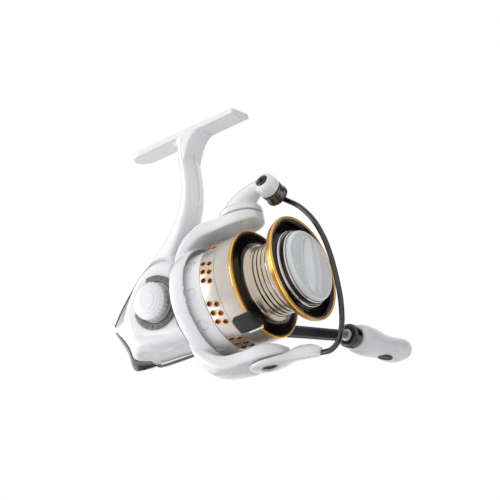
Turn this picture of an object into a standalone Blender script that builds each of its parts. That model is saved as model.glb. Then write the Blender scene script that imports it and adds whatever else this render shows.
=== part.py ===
"""Open-face spinning reel, size about 30, as an assembly of separate pieces.

Frame: the origin is the centre of the rod foot's seating face, +X points forward along the spool
axis, +Y points to the handle side and +Z points up to the rod. Every piece hangs on one empty on
the spool axis at the plane of the spool's front lip, so local places below are measured from there.
"""
import math

import bmesh
import bpy
from mathutils import Vector

MM = 0.001

# ---- overall sizes
STEM_HEIGHT = 86.0 * MM      # spool axis to the foot's seating face
FOOT_LENGTH = 63.0 * MM
FOOT_WIDTH = 13.5 * MM
FOOT_THICKNESS = 2.6 * MM
LIP_TO_FOOT = 48.9 * MM      # spool lip plane ahead of the foot's centre
GAP = 0.3 * MM               # between pieces that touch
WALL = 1.8 * MM

# ---- gearbox
GEAR_X = -71.4 * MM          # handle axis
GEAR_Z = 5.2 * MM
BODY_HALF_WIDTH = 17.0 * MM
BODY_FRONT_X = -60.0 * MM
SEAM_Y = 0.15 * MM
NOSE_R = 22.4 * MM
NOSE_FRONT_X = -49.8 * MM

# ---- drive train
GEAR_TEETH = 40
PINION_TEETH = 8
GEAR_R = 17.0 * MM
GEAR_TOOTH_LENGTH = 3.4 * MM
TOOTH_DEPTH = 0.75 * MM
MESH_DEPTH = 0.5 * MM       # how far the two sets of teeth reach into each other
DISC_THICKNESS = 3.0 * MM
MAIN_SHAFT_R = 1.75 * MM
DRIVE_SHAFT_R = 2.8 * MM
RUNNING = 0.3 * MM           # clearance round a turning or sliding shaft
BEARING_R = 7.0 * MM
BEARING_WIDTH = 4.0 * MM
OSC_TEETH = (12, 18)
OSC_GEAR_X = -83.7 * MM
OSC_GEAR_Z = -3.0 * MM
OSC_WIDTH = 2.6 * MM
CRANK_R = 6.2 * MM
STROKE = 2 * CRANK_R
ROD_Z = (-5.2 * MM, 11.0 * MM)
ROD_R = 1.0 * MM

# ---- rotor and bail
ROTOR_R = 27.8 * MM
ROTOR_REAR_X = -58.0 * MM
ROTOR_BAND_X = -48.0 * MM    # front edge of the rear band
CUP_R = 24.4 * MM
CUP_FRONT_X = -38.5 * MM
HUB_R = 12.0 * MM
ARM_INNER = 28.6 * MM
ARM_OUTER = 37.6 * MM
ARM_STEP = 35.6 * MM         # outer face of the arm under the bail pieces
ARM_HALF_WIDTH = 10.0 * MM
PIVOT_X = -27.5 * MM
PIVOT_R = 2.0 * MM
BAIL_BASE_R = 10.2 * MM
WIRE_R = 1.25 * MM
ROLLER_R = 5.2 * MM
ROLLER_WIDTH = 4.4 * MM
ROLLER_TILT = math.radians(25.0)
ROLLER_CENTRE = (-10.5 * MM, 4.2 * MM, 42.4 * MM)

# ---- spool
LIP_R = 25.0 * MM
LIP_WIDTH = 2.6 * MM
SKIRT_R = 25.8 * MM
SKIRT_WALL = 0.8 * MM
SKIRT_FRONT_X = -22.3 * MM
SKIRT_REAR_X = -40.0 * MM
ARBOR_R = 16.8 * MM
ARBOR_RIDGES = 6
DRAG_R = 13.4 * MM
COLLAR_R = 17.5 * MM
KNOB_R = 16.9 * MM
KNOB_TOP_X = 4.5 * MM
GRIP_HEIGHT = 1.4 * MM

# ---- handle
ARM_LENGTH = 59.5 * MM
ARM_DROP = math.radians(22.3)
HUB_Y = 34.0 * MM
BOSS_Y = 57.0 * MM
BOSS_R = 5.9 * MM
POST_R = 2.2 * MM
KNOB_LENGTH = 43.0 * MM

SEGMENTS = 28
SMALL_SEGMENTS = 20

WHITE = ((0.88, 0.88, 0.89), 0.0, 0.25)
GUNMETAL = ((0.20, 0.20, 0.21), 0.9, 0.3)
STEEL = ((0.62, 0.62, 0.64), 1.0, 0.25)
BRASS = ((0.75, 0.55, 0.25), 1.0, 0.35)
GOLD = ((0.80, 0.48, 0.12), 1.0, 0.25)
CHAMPAGNE = ((0.66, 0.61, 0.54), 1.0, 0.2)
BLACK = ((0.03, 0.03, 0.03), 0.2, 0.35)
FELT = ((0.30, 0.26, 0.20), 0.0, 0.9)

TO_X = (0.0, math.radians(90.0), 0.0)
TO_Y = (math.radians(-90.0), 0.0, 0.0)


def clear_scene():
    for obj in list(bpy.data.objects):
        bpy.data.objects.remove(obj, do_unlink=True)


clear_scene()
PARTS = bpy.data.collections.new("spinning_reel")
CUTTERS = bpy.data.collections.new("cutters")
bpy.context.scene.collection.children.link(PARTS)
bpy.context.scene.collection.children.link(CUTTERS)

AXIS = bpy.data.objects.new("spool_axis", None)
AXIS.location = (LIP_TO_FOOT, 0.0, -STEM_HEIGHT)
PARTS.objects.link(AXIS)


# ---------------------------------------------------------------- helpers
def paint(obj, look):
    colour, metallic, roughness = look
    mat = bpy.data.materials.new(obj.name)
    mat.use_nodes = True
    shader = mat.node_tree.nodes["Principled BSDF"]
    shader.inputs["Base Color"].default_value = (*colour, 1.0)
    shader.inputs["Metallic"].default_value = metallic
    shader.inputs["Roughness"].default_value = roughness
    obj.data.materials.clear()
    obj.data.materials.append(mat)


def add(name, data, look=None, place=(0, 0, 0), turn=(0, 0, 0)):
    """Link an object under the spool axis; one without a look is a cutter."""
    obj = bpy.data.objects.new(name, data)
    obj.parent = AXIS
    obj.location = place
    obj.rotation_euler = turn
    if look is None:
        CUTTERS.objects.link(obj)
        obj.hide_render = True
        obj.display_type = "WIRE"
    else:
        PARTS.objects.link(obj)
        paint(obj, look)
    return obj


def mesh_from(name, build):
    bm = bmesh.new()
    build(bm)
    mesh = bpy.data.meshes.new(name)
    bm.to_mesh(mesh)
    bm.free()
    return mesh


def area(points):
    total = 0.0
    for (x0, y0), (x1, y1) in zip(points, points[1:] + points[:1]):
        total += x0 * y1 - x1 * y0
    return total / 2


def turned(name, profile, look=None, place=(0, 0, 0), turn=TO_X, segments=SEGMENTS):
    """Solid of revolution from (radius, height) points; height runs along the turned Z axis."""
    if area(profile) > 0:
        profile = profile[::-1]
    closed = all(r > 0 for r, _ in profile)
    if not closed:
        start = next(i for i, (r, _) in enumerate(profile) if r == 0 and profile[i - 1][0] == 0)
        profile = profile[start:] + profile[:start]

    def build(bm):
        verts = [bm.verts.new((r, 0.0, z)) for r, z in profile]
        for a, b in zip(verts, verts[1:]):
            bm.edges.new((a, b))
        if closed:
            bm.edges.new((verts[-1], verts[0]))

    obj = add(name, mesh_from(name, build), look, place, turn)
    screw = obj.modifiers.new("turn", "SCREW")
    screw.steps = segments
    screw.render_steps = segments
    screw.use_merge_vertices = True
    screw.merge_threshold = 0.00002
    screw.use_smooth_shade = True
    return obj


def tube(name, outer, inner, low, high, look=None, **where):
    return turned(name, [(outer, high), (outer, low), (inner, low), (inner, high)], look, **where)


def rod(name, radius, low, high, look=None, **where):
    return turned(name, [(0, high), (radius, high), (radius, low), (0, low)], look, **where)


def box(name, low, high, look=None, place=(0, 0, 0), turn=(0, 0, 0)):
    size = [h - l for l, h in zip(low, high)]
    centre = [(h + l) / 2 for l, h in zip(low, high)]

    def build(bm):
        bmesh.ops.create_cube(bm, size=1.0)
        for vert in bm.verts:
            vert.co = Vector([c + s * v for c, s, v in zip(centre, size, vert.co)])

    return add(name, mesh_from(name, build), look, place, turn)


def loft(name, rings, look=None, place=(0, 0, 0), turn=(0, 0, 0)):
    """Closed solid through rings of equally many points, with flat end caps."""

    def build(bm):
        rows = [[bm.verts.new(p) for p in ring] for ring in rings]
        count = len(rings[0])
        for low, high in zip(rows, rows[1:]):
            for i in range(count):
                j = (i + 1) % count
                bm.faces.new((low[i], low[j], high[j], high[i]))
        bm.faces.new(rows[0][::-1])
        bm.faces.new(rows[-1])
        face_out(bm)

    return add(name, mesh_from(name, build), look, place, turn)


def face_out(bm):
    """Turn all faces of a closed shape outwards."""
    bmesh.ops.recalc_face_normals(bm, faces=bm.faces)
    if bm.calc_volume(signed=True) < 0:
        bmesh.ops.reverse_faces(bm, faces=bm.faces)


def to_mesh(obj):
    """Replace a curve object by its evaluated mesh, welded and in the same place."""
    bpy.context.view_layer.update()
    graph = bpy.context.evaluated_depsgraph_get()
    mesh = bpy.data.meshes.new_from_object(obj.evaluated_get(graph))
    bm = bmesh.new()
    bm.from_mesh(mesh)
    bmesh.ops.remove_doubles(bm, verts=bm.verts, dist=0.000005)
    face_out(bm)
    bm.to_mesh(mesh)
    bm.free()
    new = bpy.data.objects.new("mesh", mesh)
    new.matrix_world = obj.matrix_world
    for home in obj.users_collection:
        home.objects.link(new)
    new.parent = obj.parent
    new.matrix_parent_inverse = obj.parent.matrix_world.inverted()
    new.hide_render = obj.hide_render
    new.display_type = obj.display_type
    name = obj.name
    bpy.data.objects.remove(obj, do_unlink=True)
    new.name = name
    return new


def plate(name, outline, thickness, look=None, place=(0, 0, 0), turn=(0, 0, 0), holes=()):
    """Flat piece: an outline in local XY, thickness centred on local Z, with round-ish holes."""
    curve = bpy.data.curves.new(name, "CURVE")
    curve.dimensions = "2D"
    curve.fill_mode = "BOTH"
    curve.extrude = thickness / 2
    for loop in (outline, *holes):
        spline = curve.splines.new("POLY")
        spline.points.add(len(loop) - 1)
        for point, (x, y) in zip(spline.points, loop):
            point.co = (x, y, 0.0, 1.0)
        spline.use_cyclic_u = True
    obj = to_mesh(add(name, curve, look, place, turn))
    if look is not None:
        paint(obj, look)
    return obj


def wire(name, points, radius, look, resolution=2):
    curve = bpy.data.curves.new(name, "CURVE")
    curve.dimensions = "3D"
    curve.bevel_depth = radius
    curve.bevel_resolution = resolution
    curve.use_fill_caps = True
    spline = curve.splines.new("POLY")
    spline.points.add(len(points) - 1)
    for point, co in zip(spline.points, points):
        point.co = (*co, 1.0)
    obj = to_mesh(add(name, curve, look))
    paint(obj, look)
    return obj


def boolean(obj, cutter, operation="DIFFERENCE"):
    mod = obj.modifiers.new(cutter.name, "BOOLEAN")
    mod.operation = operation
    mod.solver = "EXACT"
    mod.object = cutter
    cutter.hide_render = True
    return obj


def join(obj, other):
    """Add a solid built as a cutter to another solid."""
    return boolean(obj, other, "UNION")


def round_edges(obj, width, angle=40.0, segments=2):
    bevel = obj.modifiers.new("round", "BEVEL")
    bevel.width = width
    bevel.segments = segments
    bevel.limit_method = "ANGLE"
    bevel.angle_limit = math.radians(angle)
    return obj


def circle(radius, count=SMALL_SEGMENTS, centre=(0.0, 0.0), start=0.0):
    step = 2 * math.pi / count
    return [
        (centre[0] + radius * math.cos(start + i * step), centre[1] + radius * math.sin(start + i * step))
        for i in range(count)
    ]


def smooth_path(points, steps):
    """Points on a Catmull-Rom curve through the given ones."""
    points = [Vector(p) for p in points]
    ends = [points[0] * 2 - points[1], *points, points[-1] * 2 - points[-2]]
    path = []
    for p0, p1, p2, p3 in zip(ends, ends[1:], ends[2:], ends[3:]):
        for k in range(steps):
            t = k / steps
            path.append(
                0.5 * (2 * p1 + (p2 - p0) * t + (2 * p0 - 5 * p1 + 4 * p2 - p3) * t * t
                       + (3 * p1 - p0 - 3 * p2 + p3) * t ** 3)
            )
    path.append(points[-1])
    return path


def inset(outline, distance):
    """Move each corner of a closed outline inwards by a distance."""
    sign = 1.0 if area([tuple(p) for p in outline]) > 0 else -1.0
    moved = []
    for before, here, after in zip(outline[-1:] + outline[:-1], outline, outline[1:] + outline[:1]):
        here = Vector(here)
        ahead = (Vector(after) - here).normalized()
        behind = (here - Vector(before)).normalized()
        normal = Vector((-ahead.y - behind.y, ahead.x + behind.x)).normalized() * sign
        reach = distance / max(0.5, normal.dot(Vector((-ahead.y, ahead.x)) * sign))
        moved.append(tuple(here + normal * reach))
    return moved


# ---------------------------------------------------------------- gearbox and foot
BODY_TOP = 31.5 * MM
BODY_BOTTOM = -18.4 * MM
# the gearbox's outline at its seam, at the crease and on its flat side, point for point, in millimetres
BODY_SEAM = (
    (-60.0, 22.5), (-62.0, 28.0), (-67.0, 31.8), (-76.0, 33.6), (-84.0, 31.2), (-90.7, 26.4), (-97.4, 20.7),
    (-103.4, 15.1), (-108.6, 9.2), (-108.9, 6.2), (-105.0, -1.4), (-102.7, -7.6), (-101.9, -12.8),
    (-99.2, -15.2), (-90.0, -16.4), (-61.6, -18.4), (-60.0, -17.4),
)
BODY_CREASE = (
    (-60.0, 19.0), (-62.5, 24.0), (-68.0, 26.5), (-76.0, 27.0), (-83.0, 24.0), (-87.6, 18.6), (-90.2, 13.0),
    (-91.6, 7.5), (-92.0, 3.0), (-92.0, 0.4), (-91.8, -4.0), (-91.4, -7.8), (-90.6, -10.8), (-88.6, -12.4),
    (-84.0, -12.8), (-61.6, -14.2), (-60.0, -13.2),
)
BODY_FLAT = (
    (-60.6, 15.5), (-63.5, 19.5), (-68.5, 21.5), (-75.0, 21.8), (-80.0, 19.6), (-83.8, 16.0), (-86.2, 11.8),
    (-87.6, 7.5), (-88.1, 3.5), (-88.0, 0.6), (-87.4, -3.0), (-86.2, -5.8), (-84.6, -7.8), (-82.0, -9.2),
    (-78.0, -9.8), (-62.0, -11.0), (-60.6, -10.0),
)
GUARD_POINTS = range(9, 15)      # the part of the outline that the rear guard covers


def between(line_a, line_b, share):
    return [(a[0] + (b[0] - a[0]) * share, a[1] + (b[1] - a[1]) * share) for a, b in zip(line_a, line_b)]


def body_solid(name, side, start, wall, look=None):
    """One half of the gearbox from its keel-shaped seam to its flat side, all round a wall smaller."""
    seam, crease, flat = (inset([(x * MM, z * MM) for x, z in line], wall)
                          for line in (BODY_SEAM, BODY_CREASE, BODY_FLAT))
    deep = BODY_HALF_WIDTH - wall
    levels = [(start, seam), (side * 0.48 * deep, between(seam, crease, 0.52)), (side * 0.82 * deep, crease),
              (side * 0.955 * deep, between(crease, flat, 0.45)), (side * deep, flat)]
    return loft(name, [[(x, y, z) for x, z in line] for y, line in levels], look)


def half_shell(name, side, look):
    """One half of the gearbox: the solid with a smaller one taken out, open at the seam."""
    shell = body_solid(name, side, side * SEAM_Y, 0.0, look)
    boolean(shell, body_solid(name + "_hollow", side, -side * 2 * MM, WALL))
    deep = BODY_HALF_WIDTH - WALL
    bore = rod(name + "_bore", BEARING_R + GAP, -6 * MM, 6 * MM,
               place=(GEAR_X, side * BODY_HALF_WIDTH, GEAR_Z), turn=TO_Y)
    mouth = rod(name + "_mouth", NOSE_R - WALL, -1.0 * MM, 4.0 * MM,
                place=(BODY_FRONT_X - 1.5 * MM, 0, 0))
    boss = tube(name + "_boss", BEARING_R + 2.2 * MM, BEARING_R + GAP, -BEARING_WIDTH / 2, BEARING_WIDTH / 2,
                place=(GEAR_X, side * (deep - BEARING_WIDTH / 2 + 0.5 * MM), GEAR_Z), turn=TO_Y)
    boolean(shell, mouth)
    join(shell, boss)
    boolean(shell, bore)
    return shell


def stem_section(x_front, x_back, z, half_front, half_back, ridge, lean):
    """Five-sided section of the stem: a ridge in front, two front corners and a narrower back."""
    rise = lean
    return [
        (x_front + ridge, 0.0, z + rise * ridge),
        (x_front, half_front, z),
        ((x_front + x_back) / 2, (half_front + half_back) / 2 + 0.6 * MM, z - rise * 2 * MM),
        (x_back, half_back, z - rise * 4 * MM),
        (x_back, -half_back, z - rise * 4 * MM),
        ((x_front + x_back) / 2, -(half_front + half_back) / 2 - 0.6 * MM, z - rise * 2 * MM),
        (x_front, -half_front, z),
    ]


def make_stem():
    """Stem from inside the gearbox up into the foot; its stations follow the stem's height."""
    top = STEM_HEIGHT - FOOT_THICKNESS / 2
    base = BODY_TOP - 6.0 * MM
    half = FOOT_WIDTH / 2
    stations = [
        # share of the height, front x, back x, half width in front, at the back
        (0.00, -67.0, -84.0, 8.0, 6.5),
        (0.10, -63.5, -78.0, 7.4, 5.4),
        (0.24, -57.5, -67.5, 7.0, 4.8),
        (0.38, -52.6, -60.5, 6.9, 4.5),
        (0.52, -50.2, -56.0, 6.9, 4.4),
        (0.68, -49.1, -54.2, 6.9, 4.4),
        (0.84, -49.2, -53.4, 6.9, 4.4),
        (0.93, -48.0, -53.0, 6.8, 4.6),
        (1.00, -45.0, -53.5, 6.6, 5.0),
    ]
    rings = []
    for share, front, back, wide, narrow in stations:
        z = base + share * (top - base)
        scale = half / (6.75 * MM)
        rings.append(stem_section(front * MM, back * MM, z, wide * scale * MM, narrow * scale * MM,
                                  2.1 * MM, 0.35 * (1 - share)))
    return loft("stem", rings)


def make_foot():
    """Foot plate: a long tapered bar, square in front and round behind, with its top as the seat."""
    front = FOOT_LENGTH / 2
    nose = -FOOT_LENGTH / 2
    half = FOOT_WIDTH / 2
    outline = [(front, -half + 0.8 * MM), (front, half - 0.8 * MM), (front - 0.8 * MM, half)]
    for i in range(7):
        angle = math.pi / 2 + i * math.pi / 6
        outline.append((nose + half + half * math.cos(angle), half * math.sin(angle)))
    outline.append((front - 0.8 * MM, -half))
    return plate("foot", outline, FOOT_THICKNESS,
                 place=(-LIP_TO_FOOT, 0, STEM_HEIGHT - FOOT_THICKNESS / 2))


def make_body():
    body = half_shell("body_frame", -1.0, WHITE)
    # the gear's rim turns inside the edge of the front opening
    boolean(body, rod("gear_room", GEAR_R + 2 * GAP, DISC_TOP_Y - DISC_THICKNESS - GAP, 1 * MM,
                      place=(GEAR_X, 0, GEAR_Z), turn=TO_Y))
    stem = make_stem()
    # the lower end of the stem must not fill the gearbox
    for side in (-1.0, 1.0):
        boolean(stem, body_solid("stem_root_%d" % side, side, -side * 1 * MM, 1.22 * WALL))
    join(body, stem)
    return join(body, make_foot())


def make_gearbox():
    make_body()
    cover = half_shell("side_cover", 1.0, WHITE)
    boolean(cover, stem_notch())
    rear_guard()
    front_plate()
    ring_y = -BODY_HALF_WIDTH - GAP
    ring = tube("gear_side_ring", 12.8 * MM, 9.7 * MM, -1.3 * MM, 0, GUNMETAL,
                place=(GEAR_X, ring_y, GEAR_Z), turn=TO_Y)
    front = BODY_FRONT_X - GAP
    boolean(ring, box("ring_flat", (front, -30 * MM, -20 * MM), (front + 10 * MM, 0, 30 * MM)))
    for number, (x, z) in enumerate(SCREW_SPOTS, 1):
        screw_head("cover_screw_%d" % number, 2.2 * MM, 1.3 * MM, STEEL,
                   place=(x, BODY_HALF_WIDTH + GAP, z), turn=TO_Y)


SCREW_SPOTS = ((-66.0 * MM, 16.0 * MM), (-83.6 * MM, 9.0 * MM), (-80.0 * MM, -6.4 * MM))


def stem_notch():
    """Room in the side cover for the stem's lower end, a gap larger than the stem all round."""
    top = STEM_HEIGHT
    base = BODY_TOP - 9.0 * MM
    half = FOOT_WIDTH / 2 + 2.2 * MM
    return box("stem_notch", (-88.0 * MM, -half, base), (BODY_FRONT_X + 4.0 * MM, half, top))


def screw_head(name, radius, height, look, place, turn):
    """Round screw head with a cross recess."""
    head = turned(name, [(0, height), (radius * 0.7, height), (radius, height * 0.55), (radius, 0), (0, 0)],
                  look, place=place, turn=turn, segments=SMALL_SEGMENTS)
    slot = 0.28 * radius
    for index, (a, b) in enumerate(((1, slot / radius), (slot / radius, 1))):
        reach = radius * 0.62
        cut = box("%s_slot_%d" % (name, index), (-reach * a, -reach * b, height * 0.5),
                  (reach * a, reach * b, height * 2), place=place, turn=turn)
        boolean(head, cut)
    return head


def rear_guard():
    """Guard round the lower rear keel: it follows the gearbox's edge a gap behind it on both sides."""
    thickness = (1.2, 1.4, 1.7, 2.2, 3.4, 1.5)
    rings = []
    for y in (-7.0 * MM, -3.5 * MM, 0.0, 3.5 * MM, 7.0 * MM):
        share = 0.52 * abs(y) / (0.48 * BODY_HALF_WIDTH)
        line = [(x * MM, z * MM) for x, z in between(BODY_SEAM, BODY_CREASE, share)]
        low = inset(line, -1.6 * GAP)
        thin = 1.0 - 0.75 * abs(y) / (7.0 * MM)
        ring = [(low[i][0], y, low[i][1]) for i in GUARD_POINTS]
        for i, depth in reversed(list(zip(GUARD_POINTS, thickness))):
            x, z = inset(line, -1.6 * GAP - (0.5 + depth * thin) * MM)[i]
            ring.append((x, y, z))
        rings.append(ring)
    return loft("rear_cover", rings, GUNMETAL)


def front_plate():
    """Round plate on the gearbox's front, cupped over the gears, with the bearing seat in its nose."""
    rear = BODY_FRONT_X + GAP
    seat_front = NOSE_FRONT_X + 5.2 * MM
    profile = [
        (NOSE_R, NOSE_FRONT_X - 0.8 * MM), (NOSE_R, rear), (NOSE_R - WALL, rear),
        (NOSE_R - WALL, NOSE_FRONT_X - WALL), (BEARING_R + GAP, NOSE_FRONT_X - WALL),
        (BEARING_R + GAP, seat_front - 1.0 * MM), (PINION_SLEEVE_R + 1.2 * MM, seat_front - 1.0 * MM),
        (PINION_SLEEVE_R + 1.2 * MM, seat_front), (BEARING_R + 2.4 * MM, seat_front),
        (BEARING_R + 2.4 * MM, NOSE_FRONT_X), (NOSE_R - 0.8 * MM, NOSE_FRONT_X),
    ]
    return turned("front_plate", profile, GUNMETAL)


# ---------------------------------------------------------------- drive train
CONTACT_R = GEAR_R - GEAR_TOOTH_LENGTH / 2
CONTACT_X = math.sqrt(CONTACT_R ** 2 - GEAR_Z ** 2)
RATIO = GEAR_TEETH / PINION_TEETH
PINION_PITCH_R = CONTACT_X / RATIO
PINION_TIP_R = PINION_PITCH_R + TOOTH_DEPTH / 2
PINION_ROOT_R = PINION_PITCH_R - TOOTH_DEPTH / 2
PINION_SLEEVE_R = 3.2 * MM
TOOTH_TIP_Y = -(PINION_TIP_R - MESH_DEPTH)
DISC_TOP_Y = TOOTH_TIP_Y - TOOTH_DEPTH - 0.3 * MM


def drive_gear():
    """Face gear on a hub; the teeth stand on the side that faces the pinion."""
    bore = DRIVE_SHAFT_R + GAP
    low = DISC_TOP_Y - DISC_THICKNESS
    hub_low = -(BODY_HALF_WIDTH - WALL) + BEARING_WIDTH - 0.5 * MM + 2 * GAP
    gear = turned("drive_gear", [
        (GEAR_R, DISC_TOP_Y), (GEAR_R, low), (9.0 * MM, low), (5.4 * MM, low - 1.5 * MM),
        (5.4 * MM, hub_low), (bore, hub_low), (bore, DISC_TOP_Y + 0.5 * MM),
        (5.0 * MM, DISC_TOP_Y + 0.5 * MM), (5.6 * MM, DISC_TOP_Y - 0.8 * MM),
        (GEAR_R - GEAR_TOOTH_LENGTH - 1.5 * MM, DISC_TOP_Y - 0.8 * MM),
        (GEAR_R - GEAR_TOOTH_LENGTH - 0.8 * MM, DISC_TOP_Y),
    ], STEEL, place=(GEAR_X, 0, GEAR_Z), turn=TO_Y, segments=40)
    skew = math.asin(GEAR_Z / CONTACT_R)
    pitch = 2 * math.pi * CONTACT_R / GEAR_TEETH
    long = GEAR_TOOTH_LENGTH / 2 - 0.5 * MM
    base = DISC_TOP_Y - 0.4 * MM
    phase = -skew

    def build(bm):
        for number in range(GEAR_TEETH):
            angle = phase + 2 * math.pi * number / GEAR_TEETH
            middle = Vector((CONTACT_R * math.cos(angle), CONTACT_R * math.sin(angle)))
            lean = angle + skew
            along = Vector((math.cos(lean), math.sin(lean)))
            across = Vector((-along.y, along.x))
            corners = []
            for level, half in ((base, 0.2 * pitch), (TOOTH_TIP_Y, 0.12 * pitch)):
                for a, b in ((-1, -1), (1, -1), (1, 1), (-1, 1)):
                    spot = middle + along * (a * long) + across * (b * half)
                    corners.append(bm.verts.new((spot.x, level, spot.y)))
            low_ring, high_ring = corners[:4], corners[4:]
            for i in range(4):
                j = (i + 1) % 4
                bm.faces.new((low_ring[i], low_ring[j], high_ring[j], high_ring[i]))
            bm.faces.new(low_ring[::-1])
            bm.faces.new(high_ring)
        bmesh.ops.recalc_face_normals(bm, faces=bm.faces)

    teeth = add("gear_teeth", mesh_from("gear_teeth", build), place=(GEAR_X, 0, GEAR_Z))
    return join(gear, teeth)


def tooth_outline(teeth, tip, root, tip_share, root_share, start=0.0):
    """Outline of a spur gear with straight-sided teeth; shares are of one pitch angle."""
    pitch = 2 * math.pi / teeth
    outline = []
    for number in range(teeth):
        middle = start + number * pitch
        for radius, offset in ((root, -root_share), (tip, -tip_share), (tip, tip_share), (root, root_share)):
            angle = middle + offset * pitch
            outline.append((radius * math.cos(angle), radius * math.sin(angle)))
    return outline


def pinion():
    """Pinion: toothed behind, plain sleeve in front, bored for the main shaft."""
    rear = GEAR_X + math.sqrt((GEAR_R - GEAR_TOOTH_LENGTH) ** 2 - GEAR_Z ** 2) - 1.5 * MM
    front = GEAR_X + math.sqrt(GEAR_R ** 2 - GEAR_Z ** 2) + 0.3 * MM
    bore = MAIN_SHAFT_R + RUNNING
    # a gap between two teeth faces the gear's tooth at -Y
    start = -math.pi / 2 + math.pi / PINION_TEETH
    outline = tooth_outline(PINION_TEETH, PINION_TIP_R, PINION_ROOT_R, 0.11, 0.24, start)
    # local X, Y of the plate become world Y, Z when its Z is turned to +X
    turn = (math.radians(90), 0, math.radians(90))
    gear = plate("pinion_gear", outline, front - rear, BRASS, place=((front + rear) / 2, 0, 0), turn=turn,
                 holes=[circle(bore, SMALL_SEGMENTS)[::-1]])
    sleeve = tube("pinion_sleeve", PINION_SLEEVE_R - 0.2 * MM, bore, front - 0.5 * MM, PINION_FRONT_X,
                  segments=SMALL_SEGMENTS)
    return join(gear, sleeve)


PINION_FRONT_X = -38.9 * MM


def bearing(name, outer, inner, width, look=STEEL, **where):
    """Ball bearing as one ring with a shallow groove in its front face between its two races."""
    half = width / 2
    mid_low = inner + (outer - inner) * 0.35
    mid_high = inner + (outer - inner) * 0.68
    dip = 0.3 * MM
    return turned(name, [
        (outer, half), (outer, -half), (inner, -half), (inner, half), (mid_low, half), (mid_low, half - dip),
        (mid_high, half - dip), (mid_high, half),
    ], look, segments=SMALL_SEGMENTS, **where)


def make_drive():
    drive_gear()
    pinion()
    shaft_low = -BODY_HALF_WIDTH - 4.6 * MM
    rod("drive_shaft", DRIVE_SHAFT_R, shaft_low, HUB_Y - 7.0 * MM, STEEL,
        place=(GEAR_X, 0, GEAR_Z), turn=TO_Y, segments=SMALL_SEGMENTS)
    seat = BODY_HALF_WIDTH - WALL - BEARING_WIDTH / 2 + 0.5 * MM
    for name, side in (("drive_bearing_near", -1), ("drive_bearing_far", 1)):
        bearing(name, BEARING_R, DRIVE_SHAFT_R + GAP, BEARING_WIDTH,
                place=(GEAR_X, side * seat, GEAR_Z), turn=TO_Y)
    bearing("pinion_bearing", BEARING_R, PINION_SLEEVE_R + 0.1 * MM, 2.6 * MM,
            place=(NOSE_FRONT_X - WALL + 1.5 * MM, 0, 0))
    clutch()
    oscillation()


def clutch():
    """One-way clutch: an outer ring in the nose, ahead of the bearing."""
    rear = NOSE_FRONT_X - WALL + 2.8 * MM + GAP
    front = NOSE_FRONT_X + 4.2 * MM - GAP
    tube("clutch_ring", BEARING_R, 5.3 * MM, rear, front, GUNMETAL, segments=24)
    tube("clutch_sleeve", 4.8 * MM, PINION_SLEEVE_R + 0.1 * MM, rear, front - GAP, STEEL, segments=24)


def oscillation():
    """Crank drive of the spool: pinion on the drive shaft, crank gear, slider and its two rods."""
    small, large = OSC_TEETH
    reach = math.hypot(OSC_GEAR_X - GEAR_X, OSC_GEAR_Z - GEAR_Z)
    small_r = reach * small / (small + large)
    large_r = reach - small_r
    # angle from the drive shaft to the crank gear, measured from +X towards +Z
    aim = math.atan2(OSC_GEAR_Z - GEAR_Z, OSC_GEAR_X - GEAR_X)
    low = SLIDER_HALF + 2 * GAP
    middle = low + OSC_WIDTH / 2
    turn = (math.radians(90), 0, 0)
    add_r = 0.75 * MM
    plate("oscillation_pinion", tooth_outline(small, small_r + add_r, small_r - add_r - 0.3 * MM,
                                              0.10, 0.22, aim),
          OSC_WIDTH, BRASS, place=(GEAR_X, middle, GEAR_Z), turn=turn,
          holes=[circle(DRIVE_SHAFT_R + 0.1 * MM)[::-1]])
    back = aim + math.pi + math.pi / large
    gear = plate("oscillation_gear", tooth_outline(large, large_r + add_r, large_r - add_r - 0.3 * MM,
                                                   0.10, 0.22, back),
                 OSC_WIDTH, STEEL, place=(OSC_GEAR_X, middle, OSC_GEAR_Z), turn=turn,
                 holes=[circle(1.5 * MM, 16)[::-1]])
    crank = rod("crank_pin", 1.4 * MM, low - GAP * 0.5, middle, segments=16,
                place=(OSC_GEAR_X + CRANK_R, 0, OSC_GEAR_Z), turn=TO_Y)
    join(gear, crank)
    wall_y = BODY_HALF_WIDTH - WALL - 1.4 * MM
    rod("oscillation_post", 1.2 * MM, low + GAP, wall_y, STEEL, segments=16,
        place=(OSC_GEAR_X, 0, OSC_GEAR_Z), turn=TO_Y)
    slider()


SLIDER_HALF = 3.0 * MM
SLIDER_LENGTH = 5.6 * MM
SHAFT_REAR_X = OSC_GEAR_X + CRANK_R - 3.4 * MM


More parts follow.
